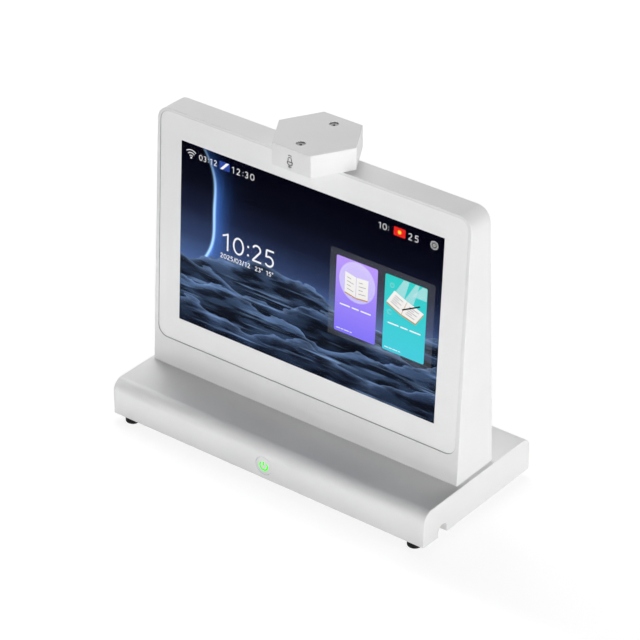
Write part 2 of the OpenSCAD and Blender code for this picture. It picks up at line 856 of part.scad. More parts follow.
module mid_frame() {
  color("lightslategray") difference() {
    union() {
      translate([0, 0, base_top]) block([frame_w, frame_t, frame_h]);
      translate([0, flange_d / 2 - frame_t / 2, base_top]) block([frame_w, flange_d, frame_t]);
    }
    for (p = frame_screw_places)
      translate([p[0], p[1], base_top - cut]) cylinder(r = frame_screw_r + slip, h = frame_t + 2 * cut);
    for (sx = [-1, 1]) translate([sx * frame_window_x, 0, base_top + frame_window_up]) rotate([90, 0, 0])
      linear_extrude(frame_t + 2 * cut, center = true)
        rounded_rect(frame_window[0], frame_window[1], frame_window_r);
    translate([0, 0, base_top + stack_up]) rotate([90, 0, 0])
      linear_extrude(frame_t + 2 * cut, center = true)
        rounded_rect(stack_header[0] + 4, stack_header[1] + 4, 1);
  }
}

module mid_frame_screws() {
  color("dimgray") for (p = frame_screw_places)
    translate([p[0], p[1], ceiling]) pan_screw(frame_screw_r, frame_screw_l, frame_head_r, frame_head_h);
}

// Puts its children on one side of the frame: x across, y up from the foot of the tower, z
// away from the frame.
module on_frame(side) {
  rotate([0, 0, side == "front" ? 0 : 180])
    translate([0, -frame_t / 2, base_top]) rotate([90, 0, 0]) children();
}

function board_holes(size, up) = [
  for (sx = [-1, 1], sy = [0, 1])
    [sx * (size[0] / 2 - board_hole_in), up + board_hole_in + sy * (size[1] - 2 * board_hole_in)]
];

module circuit_board(size, up) {
  translate([0, 0, standoff_l]) difference() {
    translate([0, up + size[1] / 2, 0]) block([size[0], size[1], board_t]);
    for (p = board_holes(size, up)) translate([p[0], p[1], -cut])
      cylinder(r = board_screw_r + 0.3, h = board_t + 2 * cut);
  }
}

module mainboard() {
  color("darkgreen") on_frame("front") circuit_board(main_board, main_board_up);
}

module bridge_board_piece() {
  color("darkgreen") on_frame("rear") circuit_board(bridge_board, bridge_board_up);
}

module standoffs(size, up) {
  for (p = board_holes(size, up)) translate([p[0], p[1], 0]) difference() {
    cylinder(r = standoff_r, h = standoff_l);
    translate([0, 0, -cut]) cylinder(r = board_screw_r + slip, h = standoff_l + 2 * cut);
  }
}

module board_standoffs() {
  color("goldenrod") {
    on_frame("front") standoffs(main_board, main_board_up);
    on_frame("rear") standoffs(bridge_board, bridge_board_up);
  }
}

module screws_on(size, up) {
  for (p = board_holes(size, up)) translate([p[0], p[1], standoff_l + board_t])
    rotate([180, 0, 0])
      pan_screw(board_screw_r, standoff_l + board_t - slip, board_head_r, board_head_h);
}

module board_screws() {
  color("dimgray") {
    on_frame("front") screws_on(main_board, main_board_up);
    on_frame("rear") screws_on(bridge_board, bridge_board_up);
  }
}

// Puts its children on the mainboard: x across, y up from its lower edge, z off its face.
module on_mainboard(p) {
  on_frame("front") translate([p[0], main_board_up + p[1], standoff_l + board_t]) children();
}

// Socket for a flat cable, open upward.
module ribbon_socket(end_up) {
  translate([ribbon_x, end_up + 0.4, standoff_l + board_t]) difference() {
    block(ribbon_plug);
    translate([0, ribbon_plug[1] / 2, ribbon_t / 2])
      block([ribbon_w + 0.4, ribbon_plug[1] + 1, 2 * ribbon_t]);
  }
}

module board_connectors() {
  color("ivory") {
    on_frame("front") ribbon_socket(main_board_up + 2);
    on_frame("rear") ribbon_socket(bridge_board_up + 2);
    on_frame("front") translate([0, stack_up, -frame_t - standoff_l])
      block([stack_header[0], stack_header[1], frame_t + 2 * standoff_l]);
    on_frame("front") translate([harness_x, harness_end + seat + harness_plug[1] / 2, standoff_l + board_t])
      block(harness_plug);
    on_frame("front") translate([0, mic_wire_end - seat - mic_plug[1] / 2, standoff_l + board_t])
      block(mic_plug);
  }
}

module main_processor() {
  color("dimgray") on_mainboard(processor_at) block(processor);
}

module heat_sink() {
  pitch = (sink - sink_fin_t) / (sink_fins - 1);
  color("silver") on_mainboard(processor_at) translate([0, 0, processor[2]]) {
    block([sink, sink, sink_base_t]);
    for (i = [0:sink_fins - 1])
      translate([(sink_fin_t - sink) / 2 + i * pitch, 0, sink_base_t / 2])
        block([sink_fin_t, sink, sink_base_t / 2 + sink_fin_h]);
  }
}

module memory_chips() {
  color("black") for (p = memory_places) on_mainboard(p) block(memory);
}

module wireless_module() {
  color("silver") on_mainboard(wireless_at) block(wireless);
}

module wifi_antenna() {
  color("goldenrod") on_frame("front") translate([antenna_x, frame_h - antenna_down, 0]) block(antenna);
}

module power_harness() {
  color("red") translate([0, 0, base_top]) tube(harness_route, harness_d);
}

// Microphone unit

module on_tower(z = 0) {
  translate([0, 0, tower_top + z]) children();
}

module on_mic_unit(z = 0) {
  on_tower(z) translate([0, -hex_forward, 0]) children();
}

module mic_housing() {
  color("whitesmoke") on_mic_unit() difference() {
    union() {
      difference() {
        cylinder(r = hex_side, h = hex_h, $fn = 6);
        translate([0, 0, -cut]) cylinder(r = hex_inner, h = hex_ceiling + cut, $fn = 6);
      }
      for (p = mic_boss_places) translate([p[0], p[1], mic_plate_t + seat])
        cylinder(r = mic_boss_r, h = hex_ceiling - mic_plate_t);
      for (s = [-1, 1]) translate([s * mic_post_x, 0, mic_board_z + mic_board_t])
        cylinder(r = mic_post_r, h = hex_ceiling - mic_board_z - mic_board_t + hex_wall / 2);
    }
    for (p = mic_boss_places) translate([p[0], p[1], 0])
      cylinder(r = mic_screw_r + slip, h = mic_screw_l + mic_plate_t);
    for (s = [-1, 1]) translate([s * mic_post_x, 0, mic_board_z])
      cylinder(r = mic_post_screw_r + slip, h = hex_ceiling - mic_board_z + 0.6);
    for (s = [-1, 1]) translate([0, s * port_out, 0]) {
      translate([0, 0, hex_h - port_dish_h]) cylinder(d = port_dish_d, h = port_dish_h + cut);
      translate([0, 0, hex_ceiling - cut]) cylinder(d = port_hole_d, h = hex_wall + 2 * cut);
    }
  }
}

module mic_base_plate() {
  color("gainsboro") on_mic_unit() difference() {
    cylinder(r = hex_inner - plate_gap, h = mic_plate_t, $fn = 6);
    translate([0, hex_forward, -cut]) cylinder(r = mic_stem_r + seat, h = mic_plate_t + 2 * cut);
    for (p = mic_boss_places) translate([p[0], p[1], 0]) {
      translate([0, 0, -cut]) cylinder(r = mic_screw_r + 0.2, h = mic_plate_t + 2 * cut);
      cylinder(r1 = mic_head_r + seat, r2 = mic_screw_r + seat, h = mic_head_h);
    }
  }
}

module mic_plate_screws() {
  color("dimgray") on_mic_unit() for (p = mic_boss_places)
    translate([p[0], p[1], 0]) countersunk_screw(mic_screw_r, mic_screw_l, mic_head_r, mic_head_h);
}

module mic_board_piece() {
  color("darkgreen") on_mic_unit(mic_board_z) difference() {
    block([mic_board[0], mic_board[1], mic_board_t]);
    for (s = [-1, 1]) translate([s * mic_post_x, 0, -cut])
      cylinder(r = mic_post_screw_r + 0.2, h = mic_board_t + 2 * cut);
  }
}

module mic_board_screws() {
  color("dimgray") on_mic_unit(mic_board_z) for (s = [-1, 1])
    translate([s * mic_post_x, 0, 0])
      pan_screw(mic_post_screw_r, hex_ceiling - mic_board_z + 0.4, mic_post_head_r, mic_post_head_h);
}

module microphones() {
  color("goldenrod") on_mic_unit(mic_board_z + mic_board_t) for (s = [-1, 1])
    translate([0, s * port_out, 0]) block(mic_capsule);
}

module mic_gaskets() {
  color("black") on_mic_unit(hex_ceiling - mic_gasket_t) for (s = [-1, 1])
    translate([0, s * port_out, 0]) difference() {
      cylinder(r = mic_gasket_r, h = mic_gasket_t);
      translate([0, 0, -cut]) cylinder(d = port_hole_d, h = mic_gasket_t + 2 * cut);
    }
}

module mic_stem() {
  tail = tower_wall + nut_t + 1.5;
  color("silver") on_tower() difference() {
    union() {
      translate([0, 0, -tail]) cylinder(r = mic_stem_r, h = tail + mic_plate_t);
      translate([0, 0, mic_plate_t]) cylinder(r = mic_flange_r, h = mic_flange_t);
    }
    translate([0, 0, -tail - cut])
      cylinder(r = mic_stem_bore_r, h = tail + mic_plate_t + mic_flange_t + 2 * cut);
  }
}

module mic_stem_nut() {
  color("silver") on_tower(-tower_wall - nut_t) difference() {
    cylinder(r = nut_across / 2 / cos(30), h = nut_t, $fn = 6);
    translate([0, 0, -cut]) cylinder(r = mic_stem_r + slip, h = nut_t + 2 * cut);
  }
}

module mic_wire() {
  color("black") translate([0, 0, base_top]) tube(mic_wire_route, mic_wire_d);
}

base_shell();
base_bottom_plate();
bottom_plate_screws();
foot(-1, -1);  // foot_front_left
foot(1, -1);  // foot_front_right
foot(-1, 1);  // foot_rear_left
foot(1, 1);  // foot_rear_right
power_button_cap();
power_icon_lens();
button_guide();
button_spring();
button_board();
button_leds();
button_screws();
tact_switch_body();
tact_switch_plunger();
io_board();
usb_c_socket();
io_board_screws();
speaker_box(-1);  // speaker_box_left
speaker_box(1);  // speaker_box_right
speaker_cones();
speaker_gaskets();
tower_shell();
tower_screws();
cover_glass("front");  // front_cover_glass
cover_glass("rear");  // rear_cover_glass
bezel_print("front");  // front_bezel_print
bezel_print("rear");  // rear_bezel_print
glass_tape("front");  // front_glass_tape
glass_tape("rear");  // rear_glass_tape
lcd_cell("front");  // front_lcd_cell
lcd_cell("rear");  // rear_lcd_cell
backlight("front");  // front_backlight
backlight("rear");  // rear_backlight
display_ribbon("front", main_board_up + 2);  // front_display_ribbon
display_ribbon("rear", bridge_board_up + 2);  // rear_display_ribbon
mid_frame();
mid_frame_screws();
mainboard();
bridge_board_piece();  // bridge_board
board_standoffs();
board_screws();
board_connectors();
main_processor();
heat_sink();
memory_chips();
wireless_module();
wifi_antenna();
power_harness();
mic_housing();
mic_base_plate();
mic_plate_screws();
mic_board_piece();  // mic_board
mic_board_screws();
microphones();
mic_gaskets();
mic_stem();
mic_stem_nut();
mic_wire();
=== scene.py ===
"""The looks of a two-sided desktop translator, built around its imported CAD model. Everything is in
metres in the model's frame: +Z up, the button's side faces -Y."""
import json
import math

import bmesh
import bpy
from mathutils import Matrix, Vector


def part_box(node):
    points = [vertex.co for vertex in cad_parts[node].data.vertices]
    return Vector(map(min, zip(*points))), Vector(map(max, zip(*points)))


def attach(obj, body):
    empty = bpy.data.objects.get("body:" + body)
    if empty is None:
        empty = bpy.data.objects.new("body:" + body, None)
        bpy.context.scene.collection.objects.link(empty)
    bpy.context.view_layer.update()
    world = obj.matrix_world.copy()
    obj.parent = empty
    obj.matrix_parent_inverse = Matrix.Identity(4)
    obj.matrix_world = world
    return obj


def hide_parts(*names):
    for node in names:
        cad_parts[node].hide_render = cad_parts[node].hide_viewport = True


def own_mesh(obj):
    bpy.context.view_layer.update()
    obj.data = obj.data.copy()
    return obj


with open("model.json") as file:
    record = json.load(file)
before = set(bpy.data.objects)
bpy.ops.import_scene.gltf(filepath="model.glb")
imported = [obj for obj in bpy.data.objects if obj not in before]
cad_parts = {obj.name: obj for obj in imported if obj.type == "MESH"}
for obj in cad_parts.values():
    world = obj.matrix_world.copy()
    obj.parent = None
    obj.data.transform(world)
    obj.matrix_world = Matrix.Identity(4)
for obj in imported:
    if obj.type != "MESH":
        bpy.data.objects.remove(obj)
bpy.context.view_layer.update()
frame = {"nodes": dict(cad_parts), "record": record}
nodes = frame["nodes"]
MM = 0.001

# Sizes that part.scad gives its solids, in millimetres
FOOT_H = 5.5
BASE_H = 26
BASE_D = 120
OUTLET_Y = -39
OUTLET_NEAR = 6         # the outlet's edges lie this near its middle
OUTLET_OVER = 9         # and below this height over the base's lower edge
TOWER_BOTTOM_T = 40
TOWER_TOP_T = 20
APRON_H = 21.1
BEZEL = 18
TOP_RIM = 2.2
SCREEN_W, SCREEN_H = 217, 135.6
FACE_L = APRON_H + SCREEN_H + 2 * BEZEL + TOP_RIM
TILT = math.asin((TOWER_BOTTOM_T - TOWER_TOP_T) / 2 / FACE_L)
BASE_TOP = FOOT_H + BASE_H
TOWER_TOP = BASE_TOP + FACE_L * math.cos(TILT)
SCREEN_V = APRON_H + BEZEL + SCREEN_H / 2
HEX_SIDE = 31.8
HEX_H = 16
HEX_FORWARD = 1.9
HEX_FLAT = HEX_SIDE * math.cos(math.radians(30))     # from the middle to a flat
PORT_OUT = 17.4
PORT_R = 3.1
GLASS_GAP = 0.2
GLASS_CORNER_R = 7.8
BUTTON_UP = 9.9
BUTTON_MIDDLE = (0, -BASE_D / 2, FOOT_H + BUTTON_UP)
ICON_R = 3.2
ICON_STROKE = 1
ICON_GAP = 55           # degrees from the top of the power sign to an end of its ring

SIDES = ("front", "rear")


# Camera

CAMERA_AT = (1.0923, -1.4037, 1.1654)
CAMERA_AZIMUTH, CAMERA_ELEVATION, CAMERA_ROLL = 37.8654, 30.8966, 0.1403
CAMERA_LENS = 174.3117


def make_camera():
    az, el, roll = (math.radians(a) for a in (CAMERA_AZIMUTH, CAMERA_ELEVATION, CAMERA_ROLL))
    back = Vector((math.sin(az) * math.cos(el), -math.cos(az) * math.cos(el), math.sin(el)))
    right = Vector((math.cos(az), math.sin(az), 0))
    up = back.cross(right)
    turned_right = right * math.cos(roll) + up * math.sin(roll)
    turned_up = up * math.cos(roll) - right * math.sin(roll)
    data = bpy.data.cameras.new("camera")
    data.lens = CAMERA_LENS
    data.sensor_width = 36
    data.clip_end = 20
    camera = bpy.data.objects.new("camera", data)
    bpy.context.scene.collection.objects.link(camera)
    camera.matrix_world = Matrix.Translation(CAMERA_AT) @ Matrix(
        (turned_right, turned_up, back)).transposed().to_4x4()
    bpy.context.scene.camera = camera


# Materials

class Graph:
    """A material, or the world, and short ways to add nodes to it."""

    def __init__(self, name, owner=None):
        self.owner = owner or bpy.data.materials.new(name)
        self.owner.use_nodes = True
        self.tree = self.owner.node_tree
        self.tree.nodes.clear()

    def node(self, kind, inputs=None, **settings):
        made = self.tree.nodes.new(kind)
        for key, value in settings.items():
            setattr(made, key, value)
        for key, value in (inputs or {}).items():
            self.feed(made.inputs[key], value)
        return made

    def feed(self, socket, value):
        if isinstance(value, bpy.types.NodeSocket):
            self.tree.links.new(value, socket)
        else:
            socket.default_value = value

    def math(self, operation, *values):
        made = self.tree.nodes.new("ShaderNodeMath")
        made.operation = operation
        for socket, value in zip(made.inputs, values):
            self.feed(socket, value)
        return made.outputs[0]

    def ramp(self, value, stops):
        """Colours between stops, each a value and its colour."""
        made = self.node("ShaderNodeValToRGB", {"Fac": value})
        elements = made.color_ramp.elements
        while len(elements) > 1:
            elements.remove(elements[-1])
        elements[0].position = stops[0][0]
        elements[0].color = (*stops[0][1], 1)
        for place, colour in stops[1:]:
            elements.new(place).color = (*colour, 1)
        return made.outputs["Color"]

    def mix(self, factor, a, b, blend="MIX"):
        made = self.node("ShaderNodeMix", data_type="RGBA", blend_type=blend)
        for index, value in ((0, factor), (6, a), (7, b)):
            if isinstance(value, tuple):
                value = (*value, 1)
            self.feed(made.inputs[index], value)
        return made.outputs[2]

    def span(self, value, low, high, to_low=0.0, to_high=1.0, smooth=True):
        """The value, with low to high stretched to to_low to to_high, and cut off past them."""
        made = self.node("ShaderNodeMapRange", {
            "Value": value, "From Min": low, "From Max": high, "To Min": to_low, "To Max": to_high})
        made.interpolation_type = "SMOOTHSTEP" if smooth else "LINEAR"
        return made.outputs["Result"]

    def place(self, scale=(1, 1, 1)):
        """The point in the model's frame, in millimetres, times a scale."""
        where = self.node("ShaderNodeTexCoord").outputs["Object"]
        return self.node("ShaderNodeMapping", {
            "Vector": where, "Scale": tuple(s / MM for s in scale)}).outputs["Vector"]

    def noise(self, size, detail, scale=(1, 1, 1)):
        """Noise from 0 to 1 with grains of a size in millimetres."""
        return self.node("ShaderNodeTexNoise", {
            "Vector": self.place(scale), "Scale": 1 / size, "Detail": detail}).outputs["Fac"]

    def bump(self, height, depth):
        """A bump as deep as depth, in millimetres."""
        return self.node("ShaderNodeBump", {
            "Height": height, "Distance": depth * MM, "Strength": 1.0}).outputs["Normal"]

    def length(self, a, b):
        """The length of a line that goes a across and b up."""
        return self.math("SQRT", self.math("ADD", self.math("MULTIPLY", a, a),
                                           self.math("MULTIPLY", b, b)))

    def seen(self):
        """1 on rays that carry a picture, straight or off a shiny surface, and 0 on rays of light."""
        path = self.node("ShaderNodeLightPath").outputs
        shiny = self.math("MAXIMUM", path["Is Glossy Ray"], path["Is Transmission Ray"])
        return self.math("MAXIMUM", path["Is Camera Ray"], shiny)

    def finish(self, surface, output="ShaderNodeOutputMaterial"):
        self.tree.links.new(surface, self.node(output).inputs["Surface"])
        return self.owner

    def principled(self, inputs):
        return self.finish(self.node("ShaderNodeBsdfPrincipled", inputs).outputs["BSDF"])


def shade(colour, factor):
    return tuple(c * factor for c in colour)


DRIFT_SIZE = 38         # size of the soft patches in a moulding's colour, in millimetres
DRIFT = 0.02            # how much lighter or darker they are
GRAIN_SIZE = 0.35
GRAIN_DEPTH = 0.004


def drifting(g, drift, colour):
    return g.ramp(drift, [(0.3, shade(colour, 1 - DRIFT)), (0.7, shade(colour, 1 + DRIFT))])


def moulded(name, colour, rough, grain=GRAIN_SIZE, depth=GRAIN_DEPTH):
    """Moulded plastic: a fine eroded grain, with colour and gloss that drift a little."""
    g = Graph(name)
    drift = g.noise(DRIFT_SIZE, 3)
    fine = g.noise(grain, 3)
    gloss = g.math("ADD", g.span(drift, 0.3, 0.7, rough - 0.03, rough + 0.03),
                   g.span(fine, 0.3, 0.7, -0.03, 0.03))
    return g.principled({
        "Base Color": drifting(g, drift, colour), "Roughness": gloss, "Specular IOR Level": 0.5,
        "Normal": g.bump(fine, depth)})


PORT_EDGE = 0.1         # how soft the edge of the painted shade in a dish is
PORT_LIP = 0.3          # the painted shade is full this far below the top
PORT_SHADE = 0.55        # tone of the painted shade, as a share of the white


def with_port_shade(name, colour, rough, top_z):
    """Moulded plastic with painted shade inside the two round dishes of the microphone unit's top:
    grey where shade falls in the recesses.
    """
    g = Graph(name)
    fine = g.noise(GRAIN_SIZE, 3)
    where = g.node("ShaderNodeSeparateXYZ", {"Vector": g.place()}).outputs
    from_middle = g.math("ADD", where["Y"], HEX_FORWARD)
    side = g.math("SUBTRACT", g.math("ABSOLUTE", from_middle), PORT_OUT)
    away = g.length(side, where["X"])
    # 1 inside the dishes, where the painted shade goes
    inside = g.math("MULTIPLY", g.span(away, PORT_R + PORT_EDGE, PORT_R - PORT_EDGE),
                    g.span(where["Z"], top_z, top_z - PORT_LIP))
    white = drifting(g, g.noise(DRIFT_SIZE, 3), colour)
    return g.principled({
        "Base Color": g.mix(inside, white, shade(colour, PORT_SHADE)),
        "Roughness": g.span(fine, 0.3, 0.7, rough - 0.05, rough + 0.05),
        "Specular IOR Level": 0.5, "Normal": g.bump(fine, GRAIN_DEPTH)})


SIGN_GREEN = (0.07, 1.0, 0.001)
GLOW_REACH = 0.35       # how far the sign's light goes into the cap, in millimetres


def sign_bleed(g):
    """1 at the lit power sign, a ring with a gap and a bar, and 0 past the reach of its light."""
    where = g.node("ShaderNodeSeparateXYZ", {"Vector": g.place()}).outputs
    across = g.math("ABSOLUTE", where["X"])
    up = g.math("SUBTRACT", where["Z"], BUTTON_MIDDLE[2])
    from_ring = g.math("ABSOLUTE", g.math("SUBTRACT", g.length(across, up), ICON_R))
    gap_slope = 1 / math.tan(math.radians(ICON_GAP))
    past_gap = g.math("SUBTRACT", g.math("MULTIPLY", across, gap_slope), up)
    half = ICON_STROKE / 2
    ring = g.math("MULTIPLY", g.span(from_ring, half + GLOW_REACH, half), g.span(past_gap, -0.4, 0.1))
    bar = g.math("MULTIPLY", g.span(across, half + GLOW_REACH, half), g.span(up, -0.2, 0.3))
    bar = g.math("MULTIPLY", bar, g.span(up, ICON_R + GLOW_REACH, ICON_R))
    return g.math("MAXIMUM", ring, bar)


def with_sign_glow(name, colour, rough):
    """Moulded plastic that takes on green light close to the lit power sign."""
    g = Graph(name)
    fine = g.noise(0.3, 3)
    bleed = sign_bleed(g)
    return g.principled({
        "Base Color": g.mix(g.math("MULTIPLY", bleed, 0.85), colour, (0.04, 0.75, 0.01)),
        "Roughness": g.span(fine, 0.3, 0.7, rough - 0.03, rough + 0.03),
        "Emission Color": (0.07, 1.0, 0.003, 1), "Emission Strength": g.math("MULTIPLY", bleed, 0.4),
        "Normal": g.bump(fine, 0.002)})


def rubber(name, colour, rough=0.75, grain=0.5, depth=0.02):
    g = Graph(name)
    fine = g.noise(grain, 4)
    dust = g.noise(6, 4)
    tint = g.ramp(dust, [(0.4, colour), (0.75, tuple(c * 1.6 + 0.002 for c in colour))])
    return g.principled({
        "Base Color": tint, "Roughness": g.span(fine, 0.3, 0.7, rough - 0.08, rough + 0.08),
        "Specular IOR Level": 0.15, "Normal": g.bump(fine, depth)})


def metal(name, colour, rough, along=(1, 1, 1), grain=0.25, depth=0.003):
    """Metal whose grain is stretched along the axis with the smallest number."""
    g = Graph(name)
    streak = g.noise(grain, 4, along)
    tint = g.ramp(streak, [(0.3, shade(colour, 0.9)), (0.7, shade(colour, 1.06))])
    return g.principled({
        "Base Color": tint, "Metallic": 1.0,
        "Roughness": g.span(streak, 0.3, 0.7, rough - 0.06, rough + 0.08),
        "Normal": g.bump(streak, depth)})


def board(name):
    """Solder mask with buried tracks and plated pads."""
    g = Graph(name)
    where = g.place()
    tracks = g.node("ShaderNodeTexBrick", {
        "Vector": where, "Scale": 0.35, "Mortar Size": 0.09, "Brick Width": 2.4, "Row Height": 0.5,
        "Color1": (0, 0, 0, 1), "Color2": (0, 0, 0, 1), "Mortar": (1, 1, 1, 1)}, offset=0.37)
    cells = g.node("ShaderNodeTexVoronoi", {"Vector": where, "Scale": 0.28})
    pads = g.span(cells.outputs["Distance"], 0.13, 0.1)
    mask = g.mix(tracks.outputs["Color"], (0.006, 0.075, 0.028), (0.012, 0.14, 0.05))
    tint = g.mix(pads, mask, (0.62, 0.46, 0.16))
    return g.principled({
        "Base Color": tint, "Metallic": pads, "Roughness": g.span(pads, 0, 1, 0.32, 0.25),
        "Normal": g.bump(pads, 0.03)})


def foam(name, colour):
    g = Graph(name)
    cells = g.node("ShaderNodeTexVoronoi", {"Vector": g.place(), "Scale": 3.0}).outputs["Distance"]
    tint = g.ramp(cells, [(0.0, colour), (0.6, shade(colour, 1.8))])
    return g.principled({
        "Base Color": tint, "Roughness": 0.95, "Specular IOR Level": 0.2,
        "Normal": g.bump(cells, 0.05)})


def weave(name, colour, pitch=0.6):
    """Woven or wound stuff, for the sleeves and the speaker cones."""
    g = Graph(name)
    where = g.place()
    threads = g.node("ShaderNodeTexWave", {
        "Vector": where, "Scale": 1 / pitch, "Distortion": 0.6}, bands_direction="DIAGONAL")
    wave = threads.outputs["Fac"]
    tint = g.ramp(wave, [(0.2, shade(colour, 0.6)), (0.8, shade(colour, 1.5))])
    return g.principled({
        "Base Color": tint, "Roughness": 0.8, "Specular IOR Level": 0.3, "Normal": g.bump(wave, 0.06)})


def ribbon(name):
    """Amber film over straight copper tracks."""
    g = Graph(name)
    lines = g.node("ShaderNodeTexWave", {"Vector": g.place(), "Scale": 0.4},
                   bands_direction="X").outputs["Fac"]
    tint = g.ramp(lines, [(0.35, (0.30, 0.10, 0.012)), (0.6, (0.62, 0.26, 0.05))])
    return g.principled({
        "Base Color": tint, "Roughness": 0.3, "Coat Weight": 0.4, "Normal": g.bump(lines, 0.02)})


def clear_glass(name):
    """Thin clear glass with a coating that hides reflections, except seen along the surface."""
    g = Graph(name)
    facing = g.node("ShaderNodeLayerWeight", {"Blend": 0.5}).outputs["Facing"]
    shine = g.math("MULTIPLY_ADD", g.math("POWER", facing, 6.0), 0.5, 0.0008)
    smear = g.noise(30, 3)
    gloss = g.node("ShaderNodeBsdfGlossy", {
        "Color": (1, 1, 1, 1), "Roughness": g.span(smear, 0.3, 0.7, 0.06, 0.12)})
    clear = g.node("ShaderNodeBsdfTransparent", {"Color": (0.99, 0.99, 0.99, 1)})
    mixed = g.node("ShaderNodeMixShader", {
        "Fac": shine, 1: clear.outputs[0], 2: gloss.outputs[0]})
    return g.finish(mixed.outputs[0])


def lit(name, colour, strength, edge_colour, middle, radius):
    """A lens lit from behind, brightest in its middle. Middle and radius are in millimetres."""
    g = Graph(name)
    away = g.node("ShaderNodeVectorMath", {0: g.place(), 1: middle}, operation="DISTANCE")
    tint = g.ramp(g.math("DIVIDE", away.outputs["Value"], radius), [(0.0, colour), (1.0, edge_colour)])
    frost = g.noise(0.6, 2)
    glow = g.node("ShaderNodeEmission", {
        "Color": tint, "Strength": g.span(frost, 0.2, 0.8, strength * 0.94, strength)})
    skin = g.node("ShaderNodeBsdfPrincipled", {
        "Base Color": g.mix(1.0, tint, (0.05, 0.05, 0.05), "MULTIPLY"), "Specular IOR Level": 0.1,
        "Roughness": g.span(frost, 0.2, 0.8, 0.3, 0.4)})
    return g.finish(g.node("ShaderNodeAddShader", {
        0: glow.outputs[0], 1: skin.outputs["BSDF"]}).outputs[0])


# Shapes

def on_face(side, x, y, depth):
    """A point of a tower face: x across and y up from the middle of the screen, seen from that
    side, and a depth below the face. Millimetres in, metres out."""
    v = SCREEN_V + y
    place = Vector((x, -TOWER_BOTTOM_T / 2 + v * math.sin(TILT) + depth * math.cos(TILT),
                    BASE_TOP + v * math.cos(TILT) - depth * math.sin(TILT)))
    if side == "rear":
        place.x, place.y = -place.x, -place.y
    return place * MM


def add_piece(name, bm, material, body):
    """Makes a piece of the object from a mesh in metres."""
    mesh = bpy.data.meshes.new(name)
    bmesh.ops.recalc_face_normals(bm, faces=bm.faces)
    bm.to_mesh(mesh)
    bm.free()
    mesh.materials.append(material)
    piece = bpy.data.objects.new(name, mesh)
    bpy.context.scene.collection.objects.link(piece)
    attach(piece, body)
    return piece


BEVEL_OVER = 35         # an edge that bends by more degrees than this is rounded
SHARP_OVER = 32         # and past this it is shaded as an edge


def soft_edges(node, rules, material, body="housing"):
    """Stands for a CAD node: its own surface, with sharp edges rounded. Each rule is a radius in
    millimetres, a number of steps, and a test of an edge's middle in millimetres."""
    bm = bmesh.new()
    bm.from_mesh(nodes[node].data)
    bmesh.ops.remove_doubles(bm, verts=bm.verts, dist=1e-6)
    bmesh.ops.dissolve_limit(bm, angle_limit=math.radians(0.5), verts=bm.verts, edges=bm.edges)
    for radius, steps, chosen in rules:
        sharp = [e for e in bm.edges if len(e.link_faces) == 2
                 and math.degrees(e.calc_face_angle(0)) > BEVEL_OVER
                 and chosen((e.verts[0].co + e.verts[1].co) / 2 / MM, e)]
        bmesh.ops.bevel(bm, geom=sharp, offset=radius * MM, segments=steps, profile=0.5,
                        affect="EDGES", clamp_overlap=True)
    for face in bm.faces:
        face.smooth = True
    piece = add_piece(node + "_finish", bm, material, body)
    piece.data.set_sharp_from_angle(angle=math.radians(SHARP_OVER))
    piece.modifiers.new("normals", "WEIGHTED_NORMAL").keep_sharp = True
    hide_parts(node)


def outward(edge, axis, sign):
    """True if one of an edge's faces looks along an axis."""
    return any(f.normal[axis] * sign > 0.9 for f in edge.link_faces)


make_camera()

WHITE = (0.80, 0.80, 0.80)
shell_white = moulded("shell_white", WHITE, 0.42)
plate_white = moulded("plate_white", shade(WHITE, 0.97), 0.55, grain=0.5, depth=0.01)
ink_white = moulded("ink_white", shade(WHITE, 1.14), 0.5, grain=0.2, depth=0.001)
cap_white = with_sign_glow("cap_white", WHITE, 0.38)

SLOT_MATERIALS = {
    "white_shell": shell_white,
    "white_plate": plate_white,
    "black_screws": metal("blackened_steel", (0.09, 0.09, 0.095), 0.42),
    "black_rubber": rubber("foot_rubber", (0.004, 0.004, 0.0045)),
    "white_cap": cap_white,
    "lit_lens": lit("green_lens", SIGN_GREEN, 1.1, (0.05, 1.0, 0.001), BUTTON_MIDDLE, 4),
    "grey_moulding": moulded("grey_moulding", (0.16, 0.165, 0.17), 0.5),
    "spring_steel": metal("spring_steel", (0.62, 0.62, 0.64), 0.28),
    "circuit_board": board("solder_mask"),
    "led_lens": moulded("led_lens", (0.72, 0.74, 0.55), 0.2, depth=0.001),
    "bright_screws": metal("zinc_plate", (0.60, 0.61, 0.62), 0.3),
    "black_moulding": moulded("black_moulding", (0.02, 0.02, 0.021), 0.45),
    "socket_steel": metal("nickel_plate", (0.72, 0.71, 0.68), 0.2),
    "speaker_cone": weave("speaker_cone", (0.03, 0.03, 0.032)),
    "black_foam": foam("black_foam", (0.02, 0.02, 0.02)),
    "cover_glass": clear_glass("cover_glass"),
    "white_ink": ink_white,
    "display_cell": moulded("cell_glass", (0.008, 0.012, 0.03), 0.15, depth=0.0005),
    "backlight_tray": metal("tray_aluminium", (0.72, 0.73, 0.74), 0.35, along=(0.1, 1, 1)),
    "amber_ribbon": ribbon("amber_ribbon"),
    "frame_sheet": metal("frame_sheet", (0.55, 0.56, 0.57), 0.4, along=(1, 1, 0.15)),
    "brass_posts": metal("brass", (0.72, 0.50, 0.20), 0.3),
    "ivory_moulding": moulded("ivory_moulding", (0.62, 0.58, 0.47), 0.45),
    "chip_black": moulded("chip_black", (0.018, 0.018, 0.02), 0.5, grain=0.2),
    "sink_aluminium": metal("sink_aluminium", (0.66, 0.67, 0.68), 0.38, along=(1, 1, 0.1)),
    "harness_sleeve": weave("harness_sleeve", (0.025, 0.025, 0.027), 0.9),
    "stem_steel": metal("stem_steel", (0.58, 0.58, 0.60), 0.3, along=(1, 1, 0.2)),
}

for subpart in frame["record"]["subparts"]:
    node_object = nodes[subpart["node"]]
    for material_slot in node_object.material_slots:
        material_slot.material = SLOT_MATERIALS[subpart["material_slot"]]


# What the screens show

